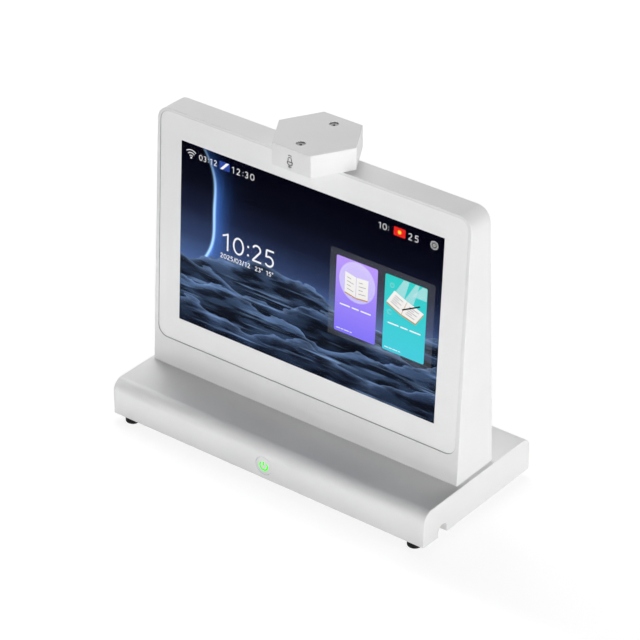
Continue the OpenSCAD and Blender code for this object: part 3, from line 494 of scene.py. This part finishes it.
SCREEN_DEPTH = 1.14     # the lit layer, just above the liquid crystal cell
LAYER = 0.04            # from one drawn layer to the next: 1 lies just over the picture, 7 on top
FILM = 0.02             # thickness of a drawn shape


class Canvas(Graph):
    """A material drawn from the canvas: x and y in millimetres from the middle of the screen."""

    def __init__(self, name):
        super().__init__(name)
        place = self.node("ShaderNodeSeparateXYZ", {
            "Vector": self.node("ShaderNodeUVMap", uv_map="canvas").outputs["UV"]})
        self.x, self.y = place.outputs["X"], place.outputs["Y"]

    def wave(self, along, length, phase, height):
        turned = self.math("MULTIPLY_ADD", along, 2 * math.pi / length, phase)
        return self.math("MULTIPLY", self.math("SINE", turned), height)

    def grain(self, scale_x, scale_y, size, detail):
        """Noise from 0 to 1. A scale under 1 stretches its grains that way."""
        stretched = self.node("ShaderNodeCombineXYZ", {
            "X": self.math("MULTIPLY", self.x, scale_x), "Y": self.math("MULTIPLY", self.y, scale_y)})
        return self.node("ShaderNodeTexNoise", {
            "Vector": stretched.outputs["Vector"], "Scale": 1 / size, "Detail": detail}).outputs["Fac"]

    def fading(self, distance, rate):
        """1 up to where the distance is 0, then less and less."""
        return self.math("EXPONENT", self.math("MULTIPLY", self.math("MAXIMUM", distance, 0.0), -rate))


def night_sky(c):
    height = c.span(c.y, -SCREEN_H / 2, SCREEN_H / 2, smooth=False)
    sky = c.ramp(height, [
        (0.28, (0.100, 0.190, 0.420)), (0.39, (0.065, 0.122, 0.305)), (0.50, (0.030, 0.050, 0.130)),
        (0.65, (0.0080, 0.0120, 0.0340)), (0.80, (0.0020, 0.0024, 0.0085)),
        (0.95, (0.0006, 0.0006, 0.0040))])
    haze = c.span(c.grain(0.6, 1, 60, 3), 0.3, 0.7, 0.85, 1.15)
    hazy = c.node("ShaderNodeCombineColor", {"Red": haze, "Green": haze, "Blue": haze})
    return c.mix(1.0, sky, hazy.outputs["Color"], "MULTIPLY")


CURTAIN_X = -88         # where the curtain of light hangs, from the middle of the screen


def add_curtain(c, sky):
    """A bright wavy edge with a glow that fades to its right."""
    waves = c.math("ADD", c.wave(c.y, 150, 0.5, 11), c.wave(c.y, 62, 2.2, 2.5))
    past = c.math("SUBTRACT", c.x, c.math("ADD", waves, CURTAIN_X))
    edge = c.math("EXPONENT", c.math("MULTIPLY", c.math("MULTIPLY", past, past), -0.8))
    right = c.math("MULTIPLY", c.fading(past, 0.2), c.span(past, -1.6, 0.8))
    from_middle = c.math("ABSOLUTE", c.math("ADD", c.y, -2.0))
    fade = c.span(from_middle, 66, 20, 0.25, 1.0)
    rays = c.span(c.grain(1, 0.06, 5, 3), 0.3, 0.7, 0.65, 1.2)
    glow = c.math("MULTIPLY", c.math("MULTIPLY", right, fade), rays)
    sky = c.mix(glow, sky, (0.06, 0.20, 0.70), "ADD")
    return c.mix(c.math("MULTIPLY", edge, fade), sky, (0.42, 0.66, 0.85), "ADD")


# From the farthest dune to the nearest: the level of its crest, the length, phase and rise of the
# crest's two waves, and its tone
DUNES = (
    (-9, (170, 2.6, 8.0), (47, 0.3, 1.6), (0.050, 0.085, 0.170)),
    (-24, (128, 0.4, 6.5), (38, 1.3, 1.4), (0.028, 0.050, 0.105)),
    (-37, (190, 4.1, 6.0), (55, 2.9, 1.8), (0.045, 0.080, 0.160)),
    (-52, (110, 1.7, 4.5), (33, 0.9, 1.2), (0.024, 0.042, 0.090)),
)


def add_dunes(c, colour):
    rough = c.span(c.grain(0.35, 1.0, 7, 9), 0.38, 0.66, -1.6, 1.6)
    streaks = c.span(c.grain(0.07, 1.3, 5, 8), 0.55, 0.76)
    glints = c.span(c.grain(0.09, 1.0, 3.2, 6), 0.70, 0.80)
    pits = c.span(c.grain(0.22, 1.0, 6, 8), 0.58, 0.42)
    for level, long_wave, short_wave, tone in DUNES:
        waves = c.math("ADD", c.wave(c.x, *long_wave), c.wave(c.x, *short_wave))
        crest = c.math("ADD", waves, c.math("ADD", rough, level))
        below = c.math("SUBTRACT", crest, c.y)
        slope = c.ramp(c.span(below, 0, 24, smooth=False), [
            (0.0, shade(tone, 1.3)), (0.4, shade(tone, 0.7)), (1.0, shade(tone, 0.35))])
        slope = c.mix(c.math("MULTIPLY", pits, 0.92), slope, (0.003, 0.004, 0.009))
        slope = c.mix(c.math("MULTIPLY", streaks, 0.75), slope, (0.22, 0.36, 0.62), "ADD")
        slope = c.mix(glints, slope, (0.55, 0.68, 0.85), "ADD")
        lit_crest = c.math("MULTIPLY", c.fading(below, 0.55), 0.30)
        slope = c.mix(lit_crest, slope, (0.30, 0.48, 0.85), "ADD")
        colour = c.mix(c.span(below, -0.15, 0.15), colour, slope)
    return colour


def picture_material():
    """A night sky with a curtain of light over soft dunes."""
    c = Canvas("screen_picture")
    colour = add_dunes(c, add_curtain(c, night_sky(c)))
    return c.finish(c.node("ShaderNodeEmission", {"Color": colour, "Strength": 1.0}).outputs[0])


CELL = 0.24             # pitch of the picture cells, in millimetres


def drawn(name, bottom, top):
    """Light of a drawn shape, with a fine pattern of picture cells. Bottom and top are each a
    height in millimetres and the colour there."""
    g = Graph(name)
    where = g.node("ShaderNodeSeparateXYZ", {"Vector": g.place()})
    across = g.math("SINE", g.math("MULTIPLY", where.outputs["X"], 2 * math.pi / CELL))
    rise = g.span(where.outputs["Z"], bottom[0], top[0], smooth=False)
    colour = g.ramp(rise, [(0.0, bottom[1]), (1.0, top[1])])
    glow = g.node("ShaderNodeEmission", {
        "Color": colour, "Strength": g.span(across, -1, 1, 0.97, 1.0)})
    return g.finish(glow.outputs[0])


def veil(name, colour, cover):
    """A see-through sheet of light over the picture."""
    g = Graph(name)
    cloud = g.span(g.noise(25, 2), 0.3, 0.7, cover * 0.9, cover * 1.1)
    glow = g.node("ShaderNodeEmission", {"Color": (*colour, 1), "Strength": 1.0})
    clear = g.node("ShaderNodeBsdfTransparent", {"Color": (1, 1, 1, 1)})
    mixed = g.node("ShaderNodeMixShader", {"Fac": cloud, 1: clear.outputs[0], 2: glow.outputs[0]})
    return g.finish(mixed.outputs[0])


class Drawing:
    """Flat shapes on the screen of one side, or on another flat face, each a thin solid, gathered
    into one piece. Places are millimetres from the middle of the screen or of the sign."""

    def __init__(self, side, layer, face=on_face, depth=SCREEN_DEPTH, film=FILM):
        self.side = side
        self.film = film
        self.face = face
        self.depth = depth - layer * LAYER
        self.bm = bmesh.new()

    def corner(self, x, y, depth):
        return self.bm.verts.new(self.face(self.side, x, y, depth))

    def polygon(self, points):
        low = [self.corner(x, y, self.depth) for x, y in points]
        high = [self.corner(x, y, self.depth - self.film) for x, y in points]
        self.bm.faces.new(low[::-1])
        self.bm.faces.new(high)
        for i in range(len(points)):
            j = (i + 1) % len(points)
            self.bm.faces.new((low[i], low[j], high[j], high[i]))

    def strip(self, left, right, closed=False):
        """A band between two lists of points."""
        rows = [[self.corner(x, y, d) for x, y in side]
                for side in (left, right) for d in (self.depth, self.depth - self.film)]
        count = len(left)
        for i in range(count if closed else count - 1):
            j = (i + 1) % count
            for a, b in ((0, 2), (3, 1), (1, 0), (2, 3)):
                self.bm.faces.new((rows[a][i], rows[b][i], rows[b][j], rows[a][j]))
        if not closed:
            for i in (0, count - 1):
                self.bm.faces.new((rows[0][i], rows[1][i], rows[3][i], rows[2][i]))

    def line(self, points, width, closed=False):
        """A band of even width along points, with square ends."""
        left, right = [], []
        count = len(points)
        for i, (x, y) in enumerate(points):
            before = points[(i - 1) % count] if closed or i > 0 else points[i]
            after = points[(i + 1) % count] if closed or i < count - 1 else points[i]
            dx, dy = after[0] - before[0], after[1] - before[1]
            size = math.hypot(dx, dy)
            nx, ny = -dy / size * width / 2, dx / size * width / 2
            left.append((x + nx, y + ny))
            right.append((x - nx, y - ny))
        self.strip(left, right, closed)

    def box(self, x, y, w, h, r):
        """A rectangle with its middle at x, y, and round corners."""
        self.polygon(rounded(x, y, w, h, r))

    def disc(self, x, y, r, count=32):
        self.polygon(arc(x, y, r, 0, 360 - 360 / count, count))

    def ring(self, x, y, r, width, count=48):
        self.line(arc(x, y, r, 0, 360 - 360 / count, count), width, closed=True)

    def done(self, name, material):
        add_piece(f"{self.side}_{name}", self.bm, material, "housing")


def arc(x, y, r, start, stop, count, squeeze=1.0):
    """Points on an arc from one angle to another, in degrees. A squeeze under 1 makes it narrower."""
    angles = [math.radians(start + (stop - start) * i / (count - 1)) for i in range(count)]
    return [(x + r * math.cos(a) * squeeze, y + r * math.sin(a)) for a in angles]


def rounded(x, y, w, h, r, steps=8):
    """The outline of a rectangle with round corners."""
    points = []
    for turn, (sx, sy) in enumerate(((1, -1), (1, 1), (-1, 1), (-1, -1))):
        start = turn * 90 - 90
        points += arc(x + sx * (w / 2 - r), y + sy * (h / 2 - r), r, start, start + 90, steps)
    return points


UNDER_BORDER = 0.1      # how far the picture goes on under the white border


def draw_picture(side, material):
    bm = bmesh.new()
    canvas = bm.loops.layers.uv.new("canvas")
    half_w, half_h = SCREEN_W / 2 + UNDER_BORDER, SCREEN_H / 2 + UNDER_BORDER
    corners = [(-half_w, -half_h), (half_w, -half_h), (half_w, half_h), (-half_w, half_h)]
    face = bm.faces.new([bm.verts.new(on_face(side, x, y, SCREEN_DEPTH)) for x, y in corners])
    for loop, corner in zip(face.loops, corners):
        loop[canvas].uv = corner
    add_piece(f"{side}_picture", bm, material, "housing")


STEP = 0.78             # from one digit to the next, as a share of the height
NARROW_STEPS = {":": 0.36, "degree": 0.38, "/": 0.38}


def digit(drawing, sign, x, y, h, width):
    """One digit or sign, drawn with its lower left corner at x, y."""
    top, r = h - width / 2, width / 2
    if sign == "1":
        stem = 0.50 * h
        drawing.line([(x + 0.16 * h, y + 0.80 * h), (x + stem, y + top)], width * 0.9)
        drawing.line([(x + stem, y), (x + stem, y + h)], width)
    elif sign == "0":
        drawing.line(arc(x + 0.37 * h, y + h / 2, h / 2 - r, 0, 352.5, 48, 0.70), width, closed=True)
    elif sign == "2":
        bowl = arc(x + 0.34 * h, y + 0.72 * h, 0.28 * h - r, 165, -38, 22, 1.05)
        drawing.line(bowl + [(x + 0.08 * h, y + r)], width)
        drawing.line([(x + 0.06 * h, y + r), (x + 0.66 * h, y + r)], width)
    elif sign == "3":
        drawing.line(arc(x + 0.33 * h, y + 0.745 * h, 0.255 * h - r, 150, -88, 24, 1.15), width)
        drawing.line(arc(x + 0.33 * h, y + 0.275 * h, 0.275 * h - r, 90, -150, 24, 1.15), width)
    elif sign == "5":
        drawing.line([(x + 0.62 * h, y + top), (x + 0.14 * h, y + top)], width)
        drawing.line([(x + 0.15 * h, y + top), (x + 0.12 * h, y + 0.52 * h)], width)
        drawing.line(arc(x + 0.31 * h, y + 0.325 * h, 0.325 * h - r, 122, -145, 26), width)
    elif sign == ":":
        for dot in (0.22, 0.70):
            drawing.disc(x + 0.17 * h, y + dot * h, width * 0.62, 20)
    elif sign == "degree":
        drawing.ring(x + 0.15 * h, y + 0.88 * h, 0.13 * h, width * 0.8, 24)
    elif sign == "/":
        drawing.line([(x + 0.02 * h, y - 0.08 * h), (x + 0.34 * h, y + 1.02 * h)], width)


def number(drawing, signs, x, y, h, width, spread=1.0):
    """A row of digits from x on. A spread above 1 widens the steps between them."""
    for sign in signs:
        digit(drawing, sign, x, y, h, width)
        x += NARROW_STEPS.get(sign, STEP) * h * spread


def caption(drawing, x, y, lengths, height, gap):
    """A row of round-ended bars from x on, in place of words."""
    for length in lengths:
        drawing.box(x + length / 2, y, length, height, height * 0.45)
        x += length + gap


def draw_signal(drawing, x, y, size):
    """The usual fan of arcs over a dot."""
    for r in (0.34, 0.67, 1.0):
        drawing.line(arc(x, y, size * r, 47, 133, 18), size * 0.09)
    drawing.disc(x, y + size * 0.04, size * 0.11, 20)


def draw_gear(drawing, x, y, size):
    """A thin ring with eight rounded lobes, and a small ring in its middle."""
    lobes = []
    for i in range(72):
        a = math.radians(i * 5)
        r = size * (0.88 + 0.12 * math.cos(8 * a))
        lobes.append((x + r * math.cos(a), y + r * math.sin(a)))
    drawing.line(lobes, size * 0.13, closed=True)
    drawing.ring(x, y, size * 0.27, size * 0.13, 36)


def quad(corners, u, v):
    """A point inside four corners: u runs from the first to the second, v towards the last."""
    (ax, ay), (bx, by), (cx, cy), (dx, dy) = corners
    low = (ax + (bx - ax) * u, ay + (by - ay) * u)
    high = (dx + (cx - dx) * u, dy + (cy - dy) * u)
    return low[0] + (high[0] - low[0]) * v, low[1] + (high[1] - low[1]) * v


def draw_book(side, name, pages, drop, rows, materials):
    """An open book: a cover that shows below two pages, and ruled rows. A page is its lower left,
    lower right, upper right and upper left corner."""
    cover = Drawing(side, 4)
    sheets = Drawing(side, 5)
    rules = Drawing(side, 6)
    for page in pages:
        sheets.polygon(page)
        cover.polygon([(x, y - drop) for x, y in page])
        for row in range(rows):
            v = 0.22 + 0.56 * row / (rows - 1)
            rules.line([quad(page, 0.2, v), quad(page, 0.55 + 0.25 * ((row + 1) % 2), v)], 0.45)
    cover.done(f"{name}_book_cover", materials["book_cover"])
    sheets.done(f"{name}_book_pages", materials["paper"])
    rules.done(f"{name}_book_rules", materials["grey_ink"])


def draw_cards(side, materials):
    panel = Drawing(side, 1)
    panel.box(61.2, 0, 84.5, 64, 1.0)
    panel.done("card_panel", materials["panel"])
    for name, x, words in (("purple", 40.9, (8.5, 6.0, 8.5)), ("teal", 80.6, (9.0, 6.0, 9.0))):
        card = Drawing(side, 2)
        card.box(x, -0.25, 33.7, 55.5, 1.2)
        card.done(f"{name}_card", materials[name])
        marks = Drawing(side, 4)
        caption(marks, x - (sum(words) + 2.6) / 2, -7.2, words, 1.0, 1.3)
        caption(marks, x - 15, -25.6, (3.2, 2.2, 4.0, 1.8), 0.6, 0.6)
        marks.done(f"{name}_card_marks", materials["white"])

    halo = Drawing(side, 3)
    halo.disc(41.5, 12.2, 14.8, 64)
    for r in (13.6, 11.6):
        halo.ring(41.5, 12.2, r, 0.35, 64)
    halo.done("purple_card_halo", materials["halo"])
    draw_book(side, "purple", [
        [(31.6, 3.0), (40.6, 1.2), (40.6, 16.0), (31.6, 17.8)],
        [(41.0, 1.2), (50.6, 2.2), (50.6, 16.8), (41.0, 16.0)]], 1.0, 4, materials)

    rays = Drawing(side, 3)
    for left, right in (((78.5, 27.2), (83.0, 27.2)), ((88.0, 27.2), (91.0, 27.2))):
        rays.polygon([left, (left[0] - 9, 12.0), (right[0] - 4, 12.0), right])
    rays.polygon([(93.5, 27.2), (85.5, 18.0), (97.2, 18.0), (97.2, 27.2)])
    rays.ring(69.5, 20.5, 1.5, 0.4, 24)
    rays.ring(92.5, 20.0, 1.2, 0.4, 24)
    rays.line(arc(68.5, 0.6, 1.6, 40, 320, 20), 0.45)
    rays.done("teal_card_rays", materials["halo"])
    draw_book(side, "teal", [
        [(65.6, 7.6), (77.6, 2.2), (82.0, 13.0), (71.6, 17.4)],
        [(78.0, 2.2), (89.4, -0.6), (95.6, 8.6), (82.4, 13.0)]], 1.1, 5, materials)
    pen = Drawing(side, 7)
    pen.line([(78.4, 5.6), (80.2, 6.6), (92.4, 12.8)], 1.0)
    pen.done("teal_card_pen", materials["black_ink"])


def draw_screen(side, materials):
    draw_picture(side, materials["picture"])

    white = Drawing(side, 3)
    number(white, "10:25", -73.8, -1.7, 13.0, 1.35, 1.08)
    number(white, "2025/03/12", -73.6, -8.2, 3.6, 0.52, 1.05)
    number(white, ("2", "3", "degree"), -43.6, -8.2, 3.4, 0.5, 1.05)
    number(white, ("1", "5", "degree"), -34.6, -8.2, 3.4, 0.5, 1.05)
    draw_signal(white, -100.2, 57.0, 6.0)
    draw_gear(white, 100.6, 60.0, 2.95)
    number(white, "03:12", -93.4, 57.8, 4.1, 0.45, 1.14)
    number(white, "12:30", -66.0, 57.4, 4.7, 0.47, 1.3)
    number(white, "10:", 55.6, 57.8, 4.5, 0.42, 1.15)
    number(white, "25", 80.0, 57.4, 4.8, 0.45, 1.35)
    white.done("white_marks", materials["white"])

    draw_cards(side, materials)

    chips = Drawing(side, 3)
    chips.box(-71.4, 60.0, 8.8, 6.0, 0.5)
    chips.done("blue_chip", materials["blue"])
    band = Drawing(side, 4)
    band.polygon([(-75.2, 57.3), (-72.8, 57.3), (-67.6, 62.7), (-70.0, 62.7)])
    band.done("blue_chip_band", materials["white"])
    red_chip = Drawing(side, 3)
    red_chip.box(73.2, 60.0, 9.2, 6.2, 0.5)
    red_chip.done("red_chip", materials["red"])
    sun = Drawing(side, 4)
    sun.disc(73.2, 60.0, 1.4)
    sun.done("red_chip_disc", materials["yellow"])


def screen_materials():
    low, high = BASE_TOP + 80, BASE_TOP + 134
    top = BASE_TOP + 170
    return {
        "picture": picture_material(),
        "white": drawn("mark_white", (low, (0.88, 0.90, 0.95)), (top, (0.93, 0.94, 0.97))),
        "panel": veil("panel_veil", (0.92, 0.95, 1.0), 0.022),
        "halo": veil("halo_veil", (0.92, 0.95, 1.0), 0.20),
        "purple": drawn("card_purple", (low, (0.24, 0.19, 0.98)), (high, (0.52, 0.34, 1.0))),
        "teal": drawn("card_teal", (low, (0.065, 0.64, 0.76)), (high, (0.035, 0.64, 0.60))),
        "paper": drawn("paper", (low, (0.86, 0.84, 0.80)), (high, (0.95, 0.94, 0.92))),
        "book_cover": drawn("book_cover", (low, (0.48, 0.24, 0.09)), (high, (0.60, 0.36, 0.16))),
        "grey_ink": drawn("grey_ink", (low, (0.30, 0.28, 0.34)), (high, (0.38, 0.36, 0.42))),
        "black_ink": drawn("black_ink", (low, (0.010, 0.010, 0.012)), (high, (0.030, 0.028, 0.028))),
        "blue": drawn("chip_blue", (low, (0.02, 0.05, 0.30)), (top, (0.03, 0.07, 0.36))),
        "red": drawn("chip_red", (low, (0.75, 0.02, 0.015)), (top, (0.82, 0.02, 0.015))),
        "yellow": drawn("chip_yellow", (low, (0.95, 0.60, 0.03)), (top, (0.98, 0.65, 0.04))),
    }


shown = screen_materials()
for side in SIDES:
    draw_screen(side, shown)


# A grey strip low in the groove round each cover glass: painted shade where the groove's shadow falls

SHADE_STRIP_DEPTH = 0.66       # from the face to the lower side of the strip
SHADE_STRIP_THICK = 0.36
SHADE_STRIP_GAP = 0.04         # what the strip leaves free of the groove's width


def draw_groove_shade(side, material):
    shade_strip = Drawing(side, 0, depth=SHADE_STRIP_DEPTH, film=SHADE_STRIP_THICK)
    outline = rounded(0, 0, SCREEN_W + 2 * BEZEL + GLASS_GAP, SCREEN_H + 2 * BEZEL + GLASS_GAP,
                      GLASS_CORNER_R + GLASS_GAP / 2, steps=20)
    shade_strip.line(outline, GLASS_GAP - SHADE_STRIP_GAP, closed=True)
    shade_strip.done("groove_shade_strip", material)


# the grey of the painted shade in the grooves
groove_shade_grey = rubber("groove_shade_grey", (0.23, 0.23, 0.232))
for side in SIDES:
    draw_groove_shade(side, groove_shade_grey)


# The white shells, with their edges rounded as moulded

BASE_W = (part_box("base_shell")[1].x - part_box("base_shell")[0].x) / MM


def by_outlet(p):
    """True round the cable outlet in the right end of the base."""
    return p.x > 0 and abs(p.y - OUTLET_Y) < OUTLET_NEAR and p.z < FOOT_H + OUTLET_OVER


def base_end_rim(p, edge):
    at_end = abs(p.x) > BASE_W / 2 - 0.5 and p.z > FOOT_H + 0.5
    return at_end and outward(edge, 0, 1 if p.x > 0 else -1) and not by_outlet(p)


def base_outlet_rim(p, edge):
    return p.x > BASE_W / 2 - 0.5 and by_outlet(p) and outward(edge, 0, 1)


def from_button(p):
    return math.hypot(p.x, p.z - BUTTON_MIDDLE[2])


def base_button_rim(p, edge):
    return abs(p.y + BASE_D / 2) < 0.1 and from_button(p) < 8


def cap_rim(p, edge):
    return abs(p.y + BASE_D / 2) < 0.1 and from_button(p) > 6


soft_edges("base_shell", [
    (0.15, 2, base_button_rim),
    (0.3, 2, base_outlet_rim),
    (0.6, 4, base_end_rim),
], shell_white)


def on_tower_face(p):
    v = (p.z - BASE_TOP) / math.cos(TILT)
    return abs(abs(p.y) - TOWER_BOTTOM_T / 2 + v * math.sin(TILT)) < 0.05 and p.z > BASE_TOP + 0.3


def looks_out(p, edge):
    """True if the wall that meets a tower face at this edge looks away from the face's middle."""
    middle_z = BASE_TOP + SCREEN_V
    wall = min(edge.link_faces, key=lambda f: abs(f.normal.y))
    return wall.normal.x * p.x + wall.normal.z * (p.z - middle_z) > 0


def tower_rim(p, edge):
    return on_tower_face(p) and looks_out(p, edge)


def tower_groove(p, edge):
    return on_tower_face(p) and not looks_out(p, edge)


soft_edges("tower_shell", [(0.12, 2, tower_groove), (0.45, 3, tower_rim)], shell_white)


def hex_edge(p, edge):
    return math.hypot(p.x, p.y + HEX_FORWARD) > HEX_FLAT - 1 and p.z > TOWER_TOP + 0.5


def port_rim(p, edge):
    from_port = math.hypot(p.x, abs(p.y + HEX_FORWARD) - PORT_OUT)
    return p.z > TOWER_TOP + HEX_H - 0.1 and from_port < PORT_R + 1


# white, with painted shade in the two port dishes
mic_white = with_port_shade("mic_shell_white", WHITE, 0.42, TOWER_TOP + HEX_H)
soft_edges("mic_housing", [(0.2, 2, port_rim), (0.4, 3, hex_edge)], mic_white)

soft_edges("power_button_cap", [(0.45, 3, cap_rim)], cap_white, body="power_button")


# The return spring behind the button, as a piece of its own

def make_spring():
    bm = bmesh.new()
    bm.from_mesh(nodes["button_spring"].data)
    coil = add_piece("button_spring_coil", bm, SLOT_MATERIALS["spring_steel"], "housing")
    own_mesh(coil)
    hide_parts("button_spring")


make_spring()


# The microphone sign on the front and the rear of the microphone unit

SIGN_DEPTH = 0.02       # how far the print starts below the face
SIGN_UP = 6.7           # from the lower edge of the unit to the middle of the sign
SIGN_LEFT = 1.0         # how far the sign sits to the left of the middle


def on_hex(side, x, y, depth):
    """A point of the hexagon's flat over one side's screen, from the middle of the sign."""
    away, z = HEX_FLAT - depth, TOWER_TOP + SIGN_UP + y
    x -= SIGN_LEFT
    if side == "rear":
        return Vector((-x, away - HEX_FORWARD, z)) * MM
    return Vector((x, -away - HEX_FORWARD, z)) * MM


def draw_microphone_sign(side):
    """A capsule under an arc, a bar across it, a cup below, a stem and a foot."""
    sign = Drawing(side, 0, on_hex, SIGN_DEPTH)
    sign.line(arc(0, 2.4, 2.0, 48, 132, 14), 0.7)
    sign.line([(-1.4, -0.3)] + arc(0, 1.5, 1.4, 180, 0, 20) + [(1.4, -0.3)], 0.65)
    sign.line([(-2.4, -0.4), (2.4, -0.4)], 0.75)
    sign.line(arc(0, -0.7, 2.1, 180, 360, 28), 0.8)
    sign.line([(0, -2.8), (0, -3.9)], 0.75)
    sign.line([(-1.5, -4.1), (1.5, -4.1)], 0.75)
    print_grey = moulded(f"{side}_sign_print", (0.035, 0.035, 0.037), 0.5, depth=0.001)
    sign.done("microphone_sign", print_grey)


for side in SIDES:
    draw_microphone_sign(side)


# Floor and light

LAMP_REACH = 2.2
LAMP_AIM_Z = 0.1
UPRIGHT_UNDER = 10      # a lamp lower than this many degrees stands upright
WORLD_LIGHT = 0.02
FLOOR_HALF_SIZE = 6
FLOOR_LAMP_FORWARD = 0.20
FLOOR_LAMP_HEIGHT = 0.5
FLOOR_LAMP_SIZE = (0.7, 0.1)
FLOOR_LAMP_SPREAD = 20
FLOOR_LAMP_POWER = 3.3
LAMPS = {   # azimuth from +X and elevation in degrees, width and height in metres, watts
    "front_low": (-52.5, 5.2, 1.0, 0.58, 27.5),
    "right_low": (15, 5.2, 1.0, 0.58, 18.8),
    "rear_left": (150, 45, 1.0, 1.0, 11.6),
    "rear_high": (130, 65, 1.0, 1.0, 20.4),
}


def make_floor():
    """Pale paper. A picture shows it white, with what is left of the shadow."""
    bm = bmesh.new()
    bmesh.ops.create_grid(bm, x_segments=1, y_segments=1, size=FLOOR_HALF_SIZE)
    mesh = bpy.data.meshes.new("floor")
    bm.to_mesh(mesh)
    bm.free()
    floor = bpy.data.objects.new("floor", mesh)
    bpy.context.scene.collection.objects.link(floor)
    g = Graph("floor_paper")
    rough = g.span(g.noise(2, 2), 0.3, 0.7, 0.85, 0.95)
    paper = g.node("ShaderNodeBsdfPrincipled", {
        "Base Color": (0.92, 0.92, 0.92, 1), "Roughness": rough, "Specular IOR Level": 0.1})
    shadowed = g.node("ShaderNodeBsdfPrincipled", {
        "Base Color": (0.20, 0.20, 0.20, 1), "Roughness": rough, "Specular IOR Level": 0.0})
    away = g.node("ShaderNodeVectorMath", {
        0: g.node("ShaderNodeTexCoord").outputs["Object"]}, operation="LENGTH").outputs["Value"]
    glow = g.node("ShaderNodeEmission", {
        "Color": (1, 1, 1, 1), "Strength": g.span(away, 0.2, 1.0, 0.88, 1.0)})
    white = g.node("ShaderNodeAddShader", {0: shadowed.outputs[0], 1: glow.outputs[0]})
    mesh.materials.append(g.finish(g.node("ShaderNodeMixShader", {
        "Fac": g.seen(), 1: paper.outputs[0], 2: white.outputs[0]}).outputs[0]))


def area_light(name, at, aim, size, power, spread=180):
    data = bpy.data.lights.new(name, "AREA")
    data.shape = "RECTANGLE"
    data.size, data.size_y = size
    data.energy = power
    data.spread = math.radians(spread)
    light = bpy.data.objects.new(name, data)
    bpy.context.scene.collection.objects.link(light)
    light.location = at
    light.rotation_euler = (Vector(aim) - Vector(at)).to_track_quat("-Z", "Y").to_euler()


def make_lamp(name, azimuth, elevation, width, height, power):
    """A soft panel that looks at the part."""
    az, el = math.radians(azimuth), math.radians(elevation)
    at = Vector((math.cos(az) * math.cos(el), math.sin(az) * math.cos(el), math.sin(el))) * LAMP_REACH
    at.z += LAMP_AIM_Z
    aim = (0, 0, at.z if elevation < UPRIGHT_UNDER else LAMP_AIM_Z)
    area_light(name, at, aim, (width, height), power)


def make_floor_lamp():
    """A narrow light straight down on the floor before the part, for the light it throws back."""
    y = -FLOOR_LAMP_FORWARD
    area_light("floor_front", (0, y, FLOOR_LAMP_HEIGHT), (0, y, 0), FLOOR_LAMP_SIZE, FLOOR_LAMP_POWER,
               spread=FLOOR_LAMP_SPREAD)


def make_world(strength):
    world = bpy.data.worlds.new("studio")
    bpy.context.scene.world = world
    g = Graph("studio", world)
    dim = g.node("ShaderNodeBackground", {"Strength": strength})
    white = g.node("ShaderNodeBackground", {"Color": (1, 1, 1, 1), "Strength": 1.0})
    g.finish(g.node("ShaderNodeMixShader", {
        "Fac": g.seen(), 1: dim.outputs[0], 2: white.outputs[0]}).outputs[0], "ShaderNodeOutputWorld")


make_floor()
make_world(WORLD_LIGHT)
for lamp_name, setting in LAMPS.items():
    make_lamp(lamp_name, *setting)
make_floor_lamp()

bpy.context.scene.view_settings.view_transform = "Standard"
